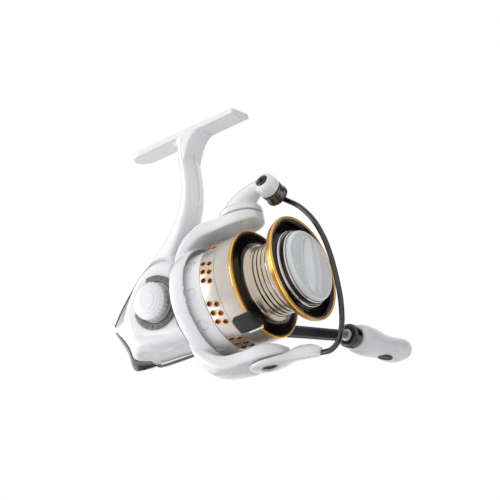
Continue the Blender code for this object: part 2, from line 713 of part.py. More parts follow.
def slider():
    centre = OSC_GEAR_X + CRANK_R
    half = SLIDER_LENGTH / 2
    low_z = ROD_Z[0] - ROD_R - 1.6 * MM
    high_z = ROD_Z[1] + ROD_R + 1.4 * MM
    block = box("oscillation_slider", (centre - half, TOOTH_TIP_Y + GAP, low_z),
                (centre + half, SLIDER_HALF, high_z), GUNMETAL)
    slot = box("slider_slot", (centre - 1.5 * MM, MAIN_SHAFT_R + GAP, low_z - 1 * MM),
               (centre + 1.5 * MM, SLIDER_HALF + 1 * MM, high_z + 1 * MM))
    boolean(block, slot)
    boolean(block, rod("slider_bore", MAIN_SHAFT_R + GAP, centre - 2 * half, centre + 2 * half, segments=16))
    for number, z in enumerate(ROD_Z, 1):
        boolean(block, rod("slider_rod_bore_%d" % number, ROD_R + GAP, centre - 2 * half, centre + 2 * half,
                           place=(0, 0, z), segments=12))
        rod("guide_rod_%d" % number, ROD_R, OSC_GEAR_X - 9.2 * MM, BODY_FRONT_X - 2.5 * MM, STEEL,
            place=(0, 0, z), segments=12)
    # holder plate behind the gearbox mouth, gripping the front ends of both rods
    x = BODY_FRONT_X - 3.2 * MM
    holder = box("rod_holder", (x - 1.2 * MM, -2.6 * MM, ROD_Z[0] - 2.8 * MM),
                 (x, 4.8 * MM, ROD_Z[1] + 2.8 * MM), STEEL)
    for number, z in enumerate(ROD_Z, 1):
        boolean(holder, rod("holder_bore_%d" % number, ROD_R + GAP / 3, x - 4 * MM, x + 4 * MM,
                            place=(0, 0, z), segments=12))
    boolean(holder, rod("holder_shaft_bore", PINION_TIP_R + 2 * GAP, x - 4 * MM, x + 4 * MM, segments=16))
    return block


# ---------------------------------------------------------------- rotor
def rotor_arm(name, side):
    """One rotor arm as a loft along X, from the rear band to a rounded front end."""
    stations = [
        # x, inner radius, outer radius, half width
        (ROTOR_REAR_X + 0.6 * MM, ROTOR_R - 3.6 * MM, ROTOR_R - 0.6 * MM, 15.0 * MM),
        (ROTOR_REAR_X + 3.0 * MM, ROTOR_R - 2.6 * MM, 32.4 * MM, 14.4 * MM),
        (ROTOR_REAR_X + 7.0 * MM, ROTOR_R - 0.6 * MM, ARM_OUTER - 1.2 * MM, 12.6 * MM),
        (ROTOR_BAND_X + 1.5 * MM, ARM_INNER - 0.2 * MM, ARM_OUTER, 11.2 * MM),
        (-39.2 * MM, ARM_INNER, ARM_OUTER, ARM_HALF_WIDTH),
        (-38.2 * MM, ARM_INNER, ARM_STEP, ARM_HALF_WIDTH),
        (PIVOT_X, ARM_INNER, ARM_STEP, ARM_HALF_WIDTH - 0.4 * MM),
        (PIVOT_X + 6.4 * MM, ARM_INNER + 1.0 * MM, ARM_STEP, ARM_HALF_WIDTH - 2.4 * MM),
        (PIVOT_X + 9.6 * MM, ARM_INNER + 3.4 * MM, ARM_STEP - 0.6 * MM, ARM_HALF_WIDTH - 5.6 * MM),
    ]
    shape = ((-0.8, 0.0), (0.0, 0.0), (0.8, 0.0), (1.0, 0.25), (1.0, 0.75), (0.75, 1.0), (0.0, 1.0),
             (-0.75, 1.0), (-1.0, 0.75), (-1.0, 0.25))
    rings = []
    for x, inner, outer, half in stations:
        spread = math.asin(half / ((inner + outer) / 2))
        ring = []
        for across, level in shape:
            radius = inner + (outer - inner) * level
            angle = across * spread
            ring.append((x, side * radius * math.sin(angle), side * radius * math.cos(angle)))
        rings.append(ring)
    return loft(name, rings)


COVER_FRONT_X = -39.4 * MM
COVER_REAR_X = -52.5 * MM
SLOT_HALF = 3.2 * MM
COVER_THICKNESS = 1.2 * MM


def make_rotor():
    inner = NOSE_R + 0.8 * MM
    web = NOSE_FRONT_X + 1.0 * MM
    hub_rear = NOSE_FRONT_X + 6.2 * MM
    hub_in = BEARING_R + 3.1 * MM
    pocket = SKIRT_REAR_X - STROKE - 1.0 * MM
    rotor = turned("rotor", [
        (ROTOR_R, ROTOR_BAND_X), (ROTOR_R, ROTOR_REAR_X + 1.0 * MM), (ROTOR_R - 1.0 * MM, ROTOR_REAR_X),
        (inner, ROTOR_REAR_X), (inner, web), (hub_in, web), (hub_in, hub_rear),
        (PINION_SLEEVE_R + GAP, hub_rear), (PINION_SLEEVE_R + GAP, hub_rear + 2.0 * MM),
        (HUB_R, hub_rear + 2.0 * MM), (HUB_R, web + 1.8 * MM), (CUP_R - 1.4 * MM, web + 1.8 * MM),
        (CUP_R - 1.4 * MM, CUP_FRONT_X), (CUP_R, CUP_FRONT_X), (CUP_R, pocket),
        (ROTOR_R - 1.3 * MM, pocket), (ROTOR_R - 1.3 * MM, ROTOR_BAND_X),
    ], WHITE)
    for number, side in enumerate((1.0, -1.0), 1):
        join(rotor, rotor_arm("arm_%d" % number, side))
    # the arms start inside the band, so the pocket for the skirt is cut again behind them
    boolean(rotor, tube("skirt_room", ROTOR_R - 1.4 * MM, CUP_R + 0.1 * MM, pocket + 0.1 * MM,
                        ROTOR_BAND_X + 6 * MM))
    for name, side in (("top", 1.0), ("bottom", -1.0)):
        arm_details(rotor, name, side)
    nut_rear = hub_rear + 2.0 * MM + GAP
    nut = plate("rotor_nut", circle(6.4 * MM, 6), 2.0 * MM, STEEL,
                place=(nut_rear + 1.0 * MM, 0, 0), turn=(math.radians(90), 0, math.radians(90)),
                holes=[circle(PINION_SLEEVE_R + 0.1 * MM)[::-1]])
    return rotor, nut


def arm_details(rotor, name, side):
    """Slot under the arm's cover, the cover itself and the bore for the bail's pivot."""
    low, high = sorted((side * (ARM_OUTER - 5.2 * MM), side * (ARM_OUTER + 3 * MM)))
    boolean(rotor, box(name + "_slot", (COVER_REAR_X, -SLOT_HALF, low), (COVER_FRONT_X, SLOT_HALF, high)))
    low, high = sorted((side * (ARM_OUTER - COVER_THICKNESS), side * (ARM_OUTER + 3 * MM)))
    boolean(rotor, box(name + "_seat", (COVER_REAR_X - 1.5 * MM, -SLOT_HALF - 2 * MM, low),
                       (COVER_FRONT_X + 4 * MM, SLOT_HALF + 2 * MM, high)))
    boolean(rotor, rod(name + "_pivot_bore", PIVOT_R + GAP, side * (ARM_INNER - 2 * MM),
                       side * (ARM_OUTER + 2 * MM), place=(PIVOT_X, 0, 0), turn=(0, 0, 0),
                       segments=16))
    half = SLOT_HALF + 2 * MM - GAP
    low, high = sorted((side * (ARM_OUTER - COVER_THICKNESS + GAP), side * ARM_OUTER))
    cover = box("arm_cover_" + name, (COVER_REAR_X - 1.5 * MM + GAP, -half, low),
                (COVER_FRONT_X, half, high), WHITE)
    return round_edges(cover, 0.4 * MM, segments=1)


def coil(name, start, end, radius, wire_r, turns, look, per_turn=10):
    """Compression spring along the line from start to end, both on an axis parallel to X."""
    (x0, y0, z0), (x1, _, _) = start, end
    count = turns * per_turn
    points = []
    for i in range(count + 1):
        angle = 2 * math.pi * i / per_turn
        x = x0 + (x1 - x0) * i / count
        points.append((x, y0 + radius * math.cos(angle), z0 + radius * math.sin(angle)))
    return wire(name, points, wire_r, look, resolution=1)


def make_bail_mechanism():
    middle = ARM_OUTER - 3.2 * MM
    coil("bail_spring", (COVER_REAR_X + 1.2 * MM, 0, -middle), (COVER_FRONT_X - 1.2 * MM, 0, -middle),
         1.5 * MM, 0.35 * MM, 6, STEEL, per_turn=8)
    rod("bail_kick_rod", 1.2 * MM, COVER_REAR_X + 7.0 * MM, COVER_FRONT_X - 0.6 * MM, STEEL,
        place=(0, 0, middle), segments=12)


# ---------------------------------------------------------------- bail
ROLLER_AXIS = Vector((0.0, math.cos(ROLLER_TILT), -math.sin(ROLLER_TILT)))


def ring_round(centre, normal, radius_a, radius_b, up, count=14):
    """Ellipse of points round a centre, square to a normal."""
    normal = Vector(normal).normalized()
    side = Vector(up).cross(normal).normalized()
    rise = normal.cross(side)
    centre = Vector(centre)
    return [
        tuple(centre + side * radius_a * math.cos(2 * math.pi * i / count)
              + rise * radius_b * math.sin(2 * math.pi * i / count))
        for i in range(count)
    ]


def make_bail():
    base = ARM_STEP + GAP
    roller = Vector(ROLLER_CENTRE)
    barrel_end = roller - ROLLER_AXIS * (ROLLER_WIDTH / 2 + GAP)
    barrel_start = barrel_end - ROLLER_AXIS * 7.0 * MM
    barrel_mid = (barrel_end + barrel_start) / 2
    up = (0, 1, 0)
    rings = [
        ring_round((PIVOT_X, 0, base), (0, 0, 1), BAIL_BASE_R, BAIL_BASE_R, up),
        ring_round((PIVOT_X, 0, base + 2.4 * MM), (0, 0, 1), BAIL_BASE_R, BAIL_BASE_R, up),
        ring_round((PIVOT_X + 1.6 * MM, -0.4 * MM, base + 4.6 * MM), (0.35, 0, 1), 8.6 * MM, 8.0 * MM, up),
        ring_round((PIVOT_X + 7.0 * MM, -1.2 * MM, base + 7.4 * MM), (0.9, 0, 1), 6.0 * MM, 4.8 * MM, up),
        ring_round(barrel_mid + Vector((-2.6 * MM, -1.5 * MM, 0)), (1, 0, 0.35), 2.4 * MM, 3.0 * MM, up),
    ]
    arm = loft("bail_arm", rings, WHITE)
    aim = ROLLER_AXIS.to_track_quat("Z", "Y").to_euler()
    length = (barrel_end - barrel_start).length
    barrel = turned("bail_barrel", [
        (0, length), (ROLLER_R + 0.3 * MM, length), (ROLLER_R + 0.3 * MM, 1.6 * MM),
        (ROLLER_R - 1.0 * MM, 0), (0, 0),
    ], place=barrel_start, turn=aim, segments=24)
    join(arm, barrel)
    recess = rod("roller_screw_recess", 3.1 * MM, -1 * MM, 1.6 * MM, place=barrel_start, turn=aim,
                 segments=SMALL_SEGMENTS)
    through = rod("roller_screw_bore", 1.5 * MM, -1 * MM, length + 2 * MM, place=barrel_start, turn=aim,
                  segments=16)
    boolean(arm, recess)
    boolean(arm, through)
    pivot_bore = rod("hood_pivot_bore", PIVOT_R + GAP, base - 1 * MM, base + 3.2 * MM,
                     place=(PIVOT_X, 0, 0), turn=(0, 0, 0), segments=16)
    boolean(arm, pivot_bore)
    for name, side in (("bail_pivot_top", 1.0), ("bail_pivot_bottom", -1.0)):
        low, high = sorted((side * (ARM_INNER + 0.6 * MM), side * (base + 2.6 * MM if side > 0 else base + 1.0 * MM)))
        rod(name, PIVOT_R, low, high, STEEL, place=(PIVOT_X, 0, 0), turn=(0, 0, 0), segments=16)
    line_roller(roller, aim, barrel_start, length)
    bail_lever()
    bail_wire(roller)


def line_roller(centre, aim, screw_start, length):
    half = ROLLER_WIDTH / 2
    turned("line_roller", [
        (ROLLER_R, half), (ROLLER_R - 0.5 * MM, half - 1.2 * MM), (ROLLER_R - 0.7 * MM, 0),
        (ROLLER_R - 0.5 * MM, -half + 1.2 * MM), (ROLLER_R, -half), (2.4 * MM, -half), (2.4 * MM, half),
    ], GUNMETAL, place=centre, turn=aim, segments=28)
    tube("roller_bush", 2.1 * MM, 1.5 * MM, -half - GAP / 2, half + GAP / 2, BRASS, place=centre, turn=aim,
         segments=16)
    shank = 1.2 * MM
    end = length + ROLLER_WIDTH + 2.0 * MM
    turned("roller_screw", [
        (0, end), (shank, end), (shank, 1.3 * MM), (2.8 * MM, 1.3 * MM), (2.8 * MM, 0.4 * MM), (0, 0.4 * MM),
    ], BLACK, place=screw_start, turn=aim, segments=16)
    recess = rod("roller_screw_drive", 1.0 * MM, -1 * MM, 0.9 * MM, place=screw_start, turn=aim, segments=6)
    boolean(bpy.data.objects["roller_screw"], recess)


LEVER_FACE = 2.4 * MM


def bail_lever():
    """Lever on the bottom arm: a round eye over the pivot that runs out into the wire's socket."""
    base = -(ARM_STEP + GAP)
    low = base - LEVER_FACE
    stations = [
        # x, y, z middle, half width, half height
        (PIVOT_X - 8.6 * MM, 0.0, base - 1.2 * MM, 3.4 * MM, 0.9 * MM),
        (PIVOT_X - 5.5 * MM, 0.0, (base + low) / 2, 7.2 * MM, LEVER_FACE / 2),
        (PIVOT_X, 0.2 * MM, (base + low) / 2, 8.6 * MM, LEVER_FACE / 2),
        (PIVOT_X + 6.0 * MM, 0.8 * MM, (base + low) / 2, 7.2 * MM, LEVER_FACE / 2),
        (PIVOT_X + 11.5 * MM, 2.0 * MM, base - 1.6 * MM, 5.0 * MM, 1.6 * MM),
        (PIVOT_X + 17.5 * MM, 3.4 * MM, base - 0.8 * MM, 4.2 * MM, 3.0 * MM),
        (PIVOT_X + 22.6 * MM, 4.6 * MM, base - 1.6 * MM, 3.2 * MM, 2.6 * MM),
        (PIVOT_X + 24.6 * MM, 5.2 * MM, base - 2.2 * MM, 1.7 * MM, 1.5 * MM),
    ]
    rings = []
    for x, y, z, wide, tall in stations:
        rings.append([(x, y + wide * a, z + tall * b) for a, b in (
            (-1, -0.2), (-0.7, -0.85), (0, -1), (0.7, -0.85), (1, -0.2), (1, 0.6), (0.7, 1), (-0.7, 1),
            (-1, 0.6))])
    lever = loft("bail_lever", rings, WHITE)
    recess = rod("lever_recess", 3.0 * MM, low - 1 * MM, low + 1.0 * MM, place=(PIVOT_X, 0, 0),
                 turn=(0, 0, 0), segments=SMALL_SEGMENTS)
    boolean(lever, recess)
    boolean(lever, rod("lever_bore", PIVOT_R + GAP, low - 1 * MM, base + 1 * MM,
                       place=(PIVOT_X, 0, 0), turn=(0, 0, 0), segments=16))
    rod("lever_screw", 2.6 * MM, low + 0.2 * MM, base - 1.0 * MM - 2 * GAP, BLACK,
        place=(PIVOT_X, 0, 0), turn=(0, 0, 0), segments=16)
    return lever


def bail_wire(roller):
    """Wire from the roller's outer end, round the front of the spool, to the lever's tip."""
    start = roller + ROLLER_AXIS * (ROLLER_WIDTH / 2 + GAP + 1.0 * MM)
    lever_end = Vector((PIVOT_X + 24.6 * MM + 3 * GAP, 5.2 * MM, -(ARM_STEP + GAP + 2.2 * MM)))
    corners = [
        start, (-6.0 * MM, 8.0 * MM, 37.2 * MM), (0.6 * MM, 6.4 * MM, 31.2 * MM),
        (7.2 * MM, 4.4 * MM, 22.0 * MM), (11.4 * MM, 3.0 * MM, 12.0 * MM), (13.6 * MM, 2.2 * MM, 2.0 * MM),
        (14.6 * MM, 1.8 * MM, -9.0 * MM), (14.4 * MM, 2.0 * MM, -20.0 * MM),
        (12.4 * MM, 2.6 * MM, -30.0 * MM), (8.6 * MM, 3.6 * MM, -36.8 * MM),
        (3.4 * MM, 4.6 * MM, -39.4 * MM), lever_end,
    ]
    obj = wire("bail_wire", smooth_path(corners, 2), WIRE_R, GUNMETAL)
    aim = ROLLER_AXIS.to_track_quat("Z", "Y").to_euler()
    cone = turned("wire_cone", [(0, 3.4 * MM), (1.6 * MM, 3.4 * MM), (ROLLER_R - 1.0 * MM, 0.6 * MM),
                                (ROLLER_R - 1.0 * MM, 0), (0, 0)],
                  place=roller + ROLLER_AXIS * (ROLLER_WIDTH / 2 + GAP), turn=aim, segments=20)
    join(obj, cone)
    bore = rod("wire_screw_bore", 1.2 * MM + GAP, -1 * MM, 2.6 * MM,
               place=roller + ROLLER_AXIS * (ROLLER_WIDTH / 2 + GAP), turn=aim, segments=12)
    return boolean(obj, bore)


# ---------------------------------------------------------------- spool
DRAG_FLOOR_X = -18.0 * MM
SPOOL_REAR_X = -24.2 * MM
FACE_X = -1.6 * MM
COLLAR_REAR_X = -3.0 * MM


def make_spool():
    bore = MAIN_SHAFT_R + GAP
    rear_step = -19.4 * MM
    front_flange = -3.6 * MM
    ridge_start = rear_step + 0.6 * MM
    ridge_end = front_flange - 1.4 * MM
    profile = [
        (LIP_R - 1.2 * MM, FACE_X), (LIP_R - 1.2 * MM, -LIP_WIDTH - GAP),
        (LIP_R - 0.2 * MM, -LIP_WIDTH - GAP), (LIP_R - 1.0 * MM, front_flange - 1.0 * MM),
        (ARBOR_R + 2.0 * MM, front_flange - 1.8 * MM),
    ]
    pitch = (ridge_end - ridge_start) / ARBOR_RIDGES
    for number in range(ARBOR_RIDGES):
        top = ridge_end - number * pitch
        profile += [(ARBOR_R, top), (ARBOR_R - 0.5 * MM, top - 0.7 * pitch)]
    profile += [
        (ARBOR_R + 1.4 * MM, rear_step), (ARBOR_R + 1.6 * MM, SKIRT_FRONT_X + 1.2 * MM),
        (SKIRT_R - 1.4 * MM, SKIRT_FRONT_X), (SKIRT_R - 1.4 * MM, SKIRT_FRONT_X - 1.2 * MM - GAP),
        (SKIRT_R, SKIRT_FRONT_X - 1.2 * MM - GAP), (SKIRT_R, SKIRT_REAR_X), (SKIRT_R - SKIRT_WALL, SKIRT_REAR_X),
        (SKIRT_R - SKIRT_WALL, SPOOL_REAR_X - 0.4 * MM), (DRAG_R + 4.0 * MM, SPOOL_REAR_X),
        (DRAG_R + 2.0 * MM, DRAG_FLOOR_X - 2.2 * MM), (6.0 * MM, DRAG_FLOOR_X - 2.2 * MM),
        (5.0 * MM, SPOOL_REAR_X + 1.0 * MM), (bore, SPOOL_REAR_X + 1.0 * MM), (bore, DRAG_FLOOR_X),
        (DRAG_R, DRAG_FLOOR_X), (DRAG_R, COLLAR_REAR_X - 0.8 * MM),
        (COLLAR_R + 0.5 * MM, COLLAR_REAR_X - 0.8 * MM), (COLLAR_R + 0.5 * MM, FACE_X),
    ]
    turned("spool", profile, CHAMPAGNE)
    tube("lip_ring", LIP_R, LIP_R - 1.2 * MM + GAP, -LIP_WIDTH, 0.0, GOLD)
    tube("skirt_ring", SKIRT_R + 0.1 * MM, SKIRT_R - 1.4 * MM + GAP, SKIRT_FRONT_X - 1.2 * MM,
         SKIRT_FRONT_X, GOLD)
    clip = box("line_clip", (-30.8 * MM, -4.6 * MM, 0.0), (-20.0 * MM, 4.6 * MM, 1.3 * MM), BLACK,
               place=tuple(clip_spot()), turn=(-CLIP_ANGLE, 0, 0))
    round_edges(clip, 0.5 * MM, segments=1)
    drag_stack()
    drag_knob()


CLIP_ANGLE = math.radians(-142.0)


def clip_spot():
    radius = SKIRT_R + GAP
    return (0.0, radius * math.sin(CLIP_ANGLE), radius * math.cos(CLIP_ANGLE))


def drag_stack():
    """Washers in the spool's well, from the floor forward, then the wire retainer."""
    bore = MAIN_SHAFT_R + GAP
    thick = 2.0 * MM
    x = DRAG_FLOOR_X + GAP
    for number, look in enumerate((FELT, STEEL, FELT), 1):
        tube("drag_washer_%d" % number, DRAG_R - GAP, bore, x, x + thick, look, segments=24)
        x += thick + GAP
    tube("drag_retainer", DRAG_R - GAP, DRAG_R - 1.6 * MM, x, x + 0.9 * MM, STEEL, segments=24)


def drag_knob():
    """Knob: a metal collar with two steps, the white cap with its grip, a nut and its spring."""
    low = COLLAR_REAR_X
    turned("knob_collar", [
        (COLLAR_R, 0.6 * MM), (COLLAR_R, low), (9.2 * MM, low), (9.2 * MM, low + 1.2 * MM),
        (COLLAR_R - 2.2 * MM, low + 2.0 * MM), (COLLAR_R - 2.2 * MM, KNOB_TOP_X - 2.2 * MM),
        (COLLAR_R - 0.4 * MM, KNOB_TOP_X - 2.2 * MM), (COLLAR_R - 0.4 * MM, 1.0 * MM),
        (COLLAR_R - 1.0 * MM, 1.0 * MM), (COLLAR_R - 1.0 * MM, 0.6 * MM),
    ], GUNMETAL)
    base = KNOB_TOP_X - 2.2 * MM + GAP
    cap = turned("drag_knob", [
        (0, KNOB_TOP_X), (KNOB_R - 5.0 * MM, KNOB_TOP_X - 0.1 * MM), (KNOB_R - 1.0 * MM, KNOB_TOP_X - 0.5 * MM),
        (KNOB_R, KNOB_TOP_X - 1.2 * MM), (KNOB_R, base), (KNOB_R - 2.6 * MM, base),
        (KNOB_R - 2.6 * MM, base + 0.5 * MM), (0, base + 0.5 * MM),
    ], WHITE)
    top = KNOB_TOP_X + GRIP_HEIGHT
    long = KNOB_R - 1.8 * MM
    rings = []
    for x, stretch, half in ((KNOB_TOP_X - 1.0 * MM, 1.0, 3.6 * MM), (KNOB_TOP_X + 0.3 * GRIP_HEIGHT, 0.97, 3.2 * MM),
                             (top - 0.6 * MM, 0.9, 2.4 * MM), (top, 0.84, 1.5 * MM)):
        rings.append([(x, half * math.sin(a), long * stretch * math.cos(a) * (1 - 0.12 * math.sin(a) ** 2))
                      for a in (2 * math.pi * i / 20 for i in range(20))])
    grip = loft("knob_grip", rings, turn=(math.radians(-12.0), 0, 0))
    join(cap, grip)
    nut_high = base + 0.5 * MM - GAP
    plate("drag_nut", circle(5.4 * MM, 6), 2.2 * MM, BRASS, place=(nut_high - 1.1 * MM, 0, 0),
          turn=(math.radians(90), 0, math.radians(90)), holes=[circle(MAIN_SHAFT_R + GAP)[::-1]])
    coil("drag_spring", (low - 5.6 * MM, 0, 0), (nut_high - 2.2 * MM - 1.0 * MM, 0, 0), 4.2 * MM, 0.45 * MM, 3,
         STEEL, per_turn=12)


def make_shaft():
    """Main shaft from the slider to the drag knob, with the spool's seat washer on it."""
    front = KNOB_TOP_X - 2.2 * MM + 0.5 * MM - GAP
    rod("main_shaft", MAIN_SHAFT_R, SHAFT_REAR_X, front, STEEL, segments=SMALL_SEGMENTS)
    seat = SPOOL_REAR_X + 1.0 * MM - GAP
    tube("spool_seat", 4.4 * MM, MAIN_SHAFT_R + 0.1 * MM, seat - 0.7 * MM, seat, BRASS, segments=24)


# ---------------------------------------------------------------- handle
def make_handle():
    """Crank arm, its hub on the drive shaft, the post with its rivet head and the knob."""
    along = Vector((math.cos(ARM_DROP), 0.0, -math.sin(ARM_DROP)))
    across = Vector((along.z, 0.0, -along.x))
    hub = Vector((GEAR_X, 0.0, GEAR_Z))
    stations = [
        # share of the length, y, half width, half thickness
        (0.00, HUB_Y + 0.4 * MM, 4.2 * MM, 2.4 * MM), (0.12, HUB_Y + 3.4 * MM, 4.0 * MM, 2.5 * MM),
        (0.24, HUB_Y + 11.0 * MM, 3.6 * MM, 2.5 * MM), (0.36, BOSS_Y - 5.4 * MM, 3.2 * MM, 2.4 * MM),
        (0.52, BOSS_Y - 3.4 * MM, 2.9 * MM, 2.2 * MM), (0.80, BOSS_Y - 1.2 * MM, 2.6 * MM, 2.0 * MM),
        (1.00, BOSS_Y, 2.5 * MM, 1.9 * MM),
    ]
    rings = []
    for share, y, wide, thick in stations:
        centre = hub + along * (share * ARM_LENGTH)
        ring = []
        for i in range(12):
            angle = 2 * math.pi * i / 12
            spot = centre + across * (wide * math.cos(angle))
            ring.append((spot.x, y + thick * math.sin(angle), spot.z))
        rings.append(ring)
    arm = loft("handle_arm", rings, GUNMETAL)
    boss_at = hub + along * ARM_LENGTH
    boss = turned("arm_boss", [
        (0, 3.0 * MM), (BOSS_R - 1.0 * MM, 3.0 * MM), (BOSS_R, 2.0 * MM), (BOSS_R, -2.0 * MM),
        (BOSS_R - 1.2 * MM, -3.0 * MM), (0, -3.0 * MM)],
        place=(boss_at.x, BOSS_Y, boss_at.z), turn=TO_Y, segments=24)
    hub_disc = turned("arm_hub", [
        (0, 4.2 * MM), (5.6 * MM, 4.0 * MM), (6.8 * MM, 2.6 * MM), (6.8 * MM, -4.0 * MM), (0, -4.0 * MM)],
        place=(GEAR_X, HUB_Y, GEAR_Z), turn=TO_Y, segments=24)
    join(arm, boss)
    join(arm, hub_disc)
    post_y = BOSS_Y - 3.6 * MM
    boolean(arm, rod("boss_bore", POST_R + GAP, -8 * MM, 8 * MM, place=(boss_at.x, BOSS_Y, boss_at.z),
                     turn=TO_Y, segments=16))
    turned("knob_post", [
        (0, KNOB_LENGTH - 3.0 * MM), (POST_R, KNOB_LENGTH - 3.0 * MM), (POST_R, 0.5 * MM - GAP),
        (3.0 * MM, 0.5 * MM - GAP), (3.0 * MM, -0.8 * MM), (0, -0.8 * MM)], STEEL,
        place=(boss_at.x, post_y, boss_at.z), turn=TO_Y, segments=16)
    collar_low = BODY_HALF_WIDTH + GAP + 0.6 * MM
    collar_high = HUB_Y - 4.0 * MM - GAP
    turned("handle_collar", [
        (5.2 * MM, collar_high), (6.6 * MM, collar_low + 2.0 * MM), (6.6 * MM, collar_low),
        (DRIVE_SHAFT_R + GAP, collar_low), (DRIVE_SHAFT_R + GAP, collar_high)], GUNMETAL,
        place=(GEAR_X, 0, GEAR_Z), turn=TO_Y, segments=24)
    cap_low = -BODY_HALF_WIDTH - 2.2 * MM
    cap = turned("screw_cap", [
        (0, cap_low), (9.1 * MM, cap_low), (9.3 * MM, cap_low - 1.2 * MM), (8.2 * MM, cap_low - 4.4 * MM),
        (6.6 * MM, cap_low - 5.6 * MM), (0, cap_low - 5.6 * MM)], WHITE,
        place=(GEAR_X, 0, GEAR_Z), turn=TO_Y, segments=32)
    boolean(cap, rod("cap_bore", DRIVE_SHAFT_R + GAP, cap_low - 3.0 * MM, cap_low + 1 * MM,
                     place=(GEAR_X, 0, GEAR_Z), turn=TO_Y, segments=16))
    knob(boss_at)


def knob(boss_at):
    """Flattened grip along Y with a waist, bored from the boss side for the post."""
    start = BOSS_Y + 3.0 * MM + 2 * GAP
    stations = [
        # share of the length, half width across, half height, drop of the middle
        (0.00, 5.4, 5.0, 0.0), (0.06, 6.8, 6.2, 0.0), (0.20, 7.4, 6.6, -0.2), (0.38, 7.2, 6.0, -0.5),
        (0.52, 7.0, 5.2, -0.6), (0.68, 7.6, 5.2, -0.6), (0.84, 7.8, 5.2, -0.4), (0.95, 6.4, 4.2, -0.2),
        (1.00, 3.6, 2.4, 0.0),
    ]
    rings = []
    for share, wide, tall, drop in stations:
        y = start + share * KNOB_LENGTH
        ring = []
        for i in range(14):
            angle = 2 * math.pi * i / 14
            c, s = math.cos(angle), math.sin(angle)
            ring.append((boss_at.x + wide * MM * math.copysign(abs(c) ** 0.8, c), y,
                         boss_at.z + (drop + tall * math.copysign(abs(s) ** 0.8, s)) * MM))
        rings.append(ring)
    grip = loft("handle_knob", rings, WHITE)
    return boolean(grip, rod("knob_bore", POST_R + GAP, start - 2 * MM, start + KNOB_LENGTH - 5.0 * MM,
                             place=(boss_at.x, 0, boss_at.z), turn=TO_Y, segments=16))


def make_anti_reverse_lever():
    """Small lever under the gearbox that swings about an upright pin."""
    top = BODY_BOTTOM - GAP
    lever = box("anti_reverse_lever", (-86.0 * MM, -1.8 * MM, top - 1.2 * MM), (-64.0 * MM, 1.8 * MM, top),
                GUNMETAL)
    round_edges(lever, 0.6 * MM, segments=1)
    return lever


make_gearbox()
make_drive()
make_shaft()
make_rotor()
make_bail_mechanism()
make_bail()
make_spool()
make_handle()
make_anti_reverse_lever()
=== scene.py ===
"""Looks for the spinning reel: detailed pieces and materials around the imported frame."""

import math

import bmesh
import bpy
from mathutils import Matrix, Vector


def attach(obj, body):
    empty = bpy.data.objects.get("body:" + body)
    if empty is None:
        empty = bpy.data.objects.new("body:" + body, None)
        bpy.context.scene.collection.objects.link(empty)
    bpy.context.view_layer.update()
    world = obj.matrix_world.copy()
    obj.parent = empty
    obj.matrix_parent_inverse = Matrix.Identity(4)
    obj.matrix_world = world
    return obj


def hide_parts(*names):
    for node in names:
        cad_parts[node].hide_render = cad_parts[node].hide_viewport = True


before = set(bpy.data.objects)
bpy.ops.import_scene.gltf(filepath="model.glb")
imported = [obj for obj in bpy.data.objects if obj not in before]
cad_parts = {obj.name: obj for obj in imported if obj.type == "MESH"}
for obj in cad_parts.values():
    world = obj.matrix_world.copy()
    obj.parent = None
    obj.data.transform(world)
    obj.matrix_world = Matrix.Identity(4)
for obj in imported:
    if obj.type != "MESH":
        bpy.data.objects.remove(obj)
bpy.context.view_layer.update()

# Sizes below are in millimetres: zero is the middle of the spool's lip, +X is forward, +Y runs to
# the handle and +Z to the foot. row() turns them into the frame's metres.
MM = 0.001
SHIFT = Vector((48.9, 0.0, -86.0))
X_AXIS, Y_AXIS, Z_AXIS = Vector((1, 0, 0)), Vector((0, 1, 0)), Vector((0, 0, 1))
ON_AXIS = 1e-6
BODY_HALF_WIDTH = 17.0
GEAR_HUB = Vector((-71.4, 0.0, 5.2))
FOOT_TOP = 86.0
BAIL_PIVOT = Vector((-27.5, 0.0, 0.0))
PIVOT_BORE_R = 2.35
POCKETS, POCKET_TURN = 10, -1.8
SKIRT_R = 25.8
HOLE_WIDE, HOLE_LONG = 1.2, 1.4
CRANK_LENGTH, CRANK_OUT = 59.5, 57.0


def row(point):
    return (Vector(point) + SHIFT) * MM


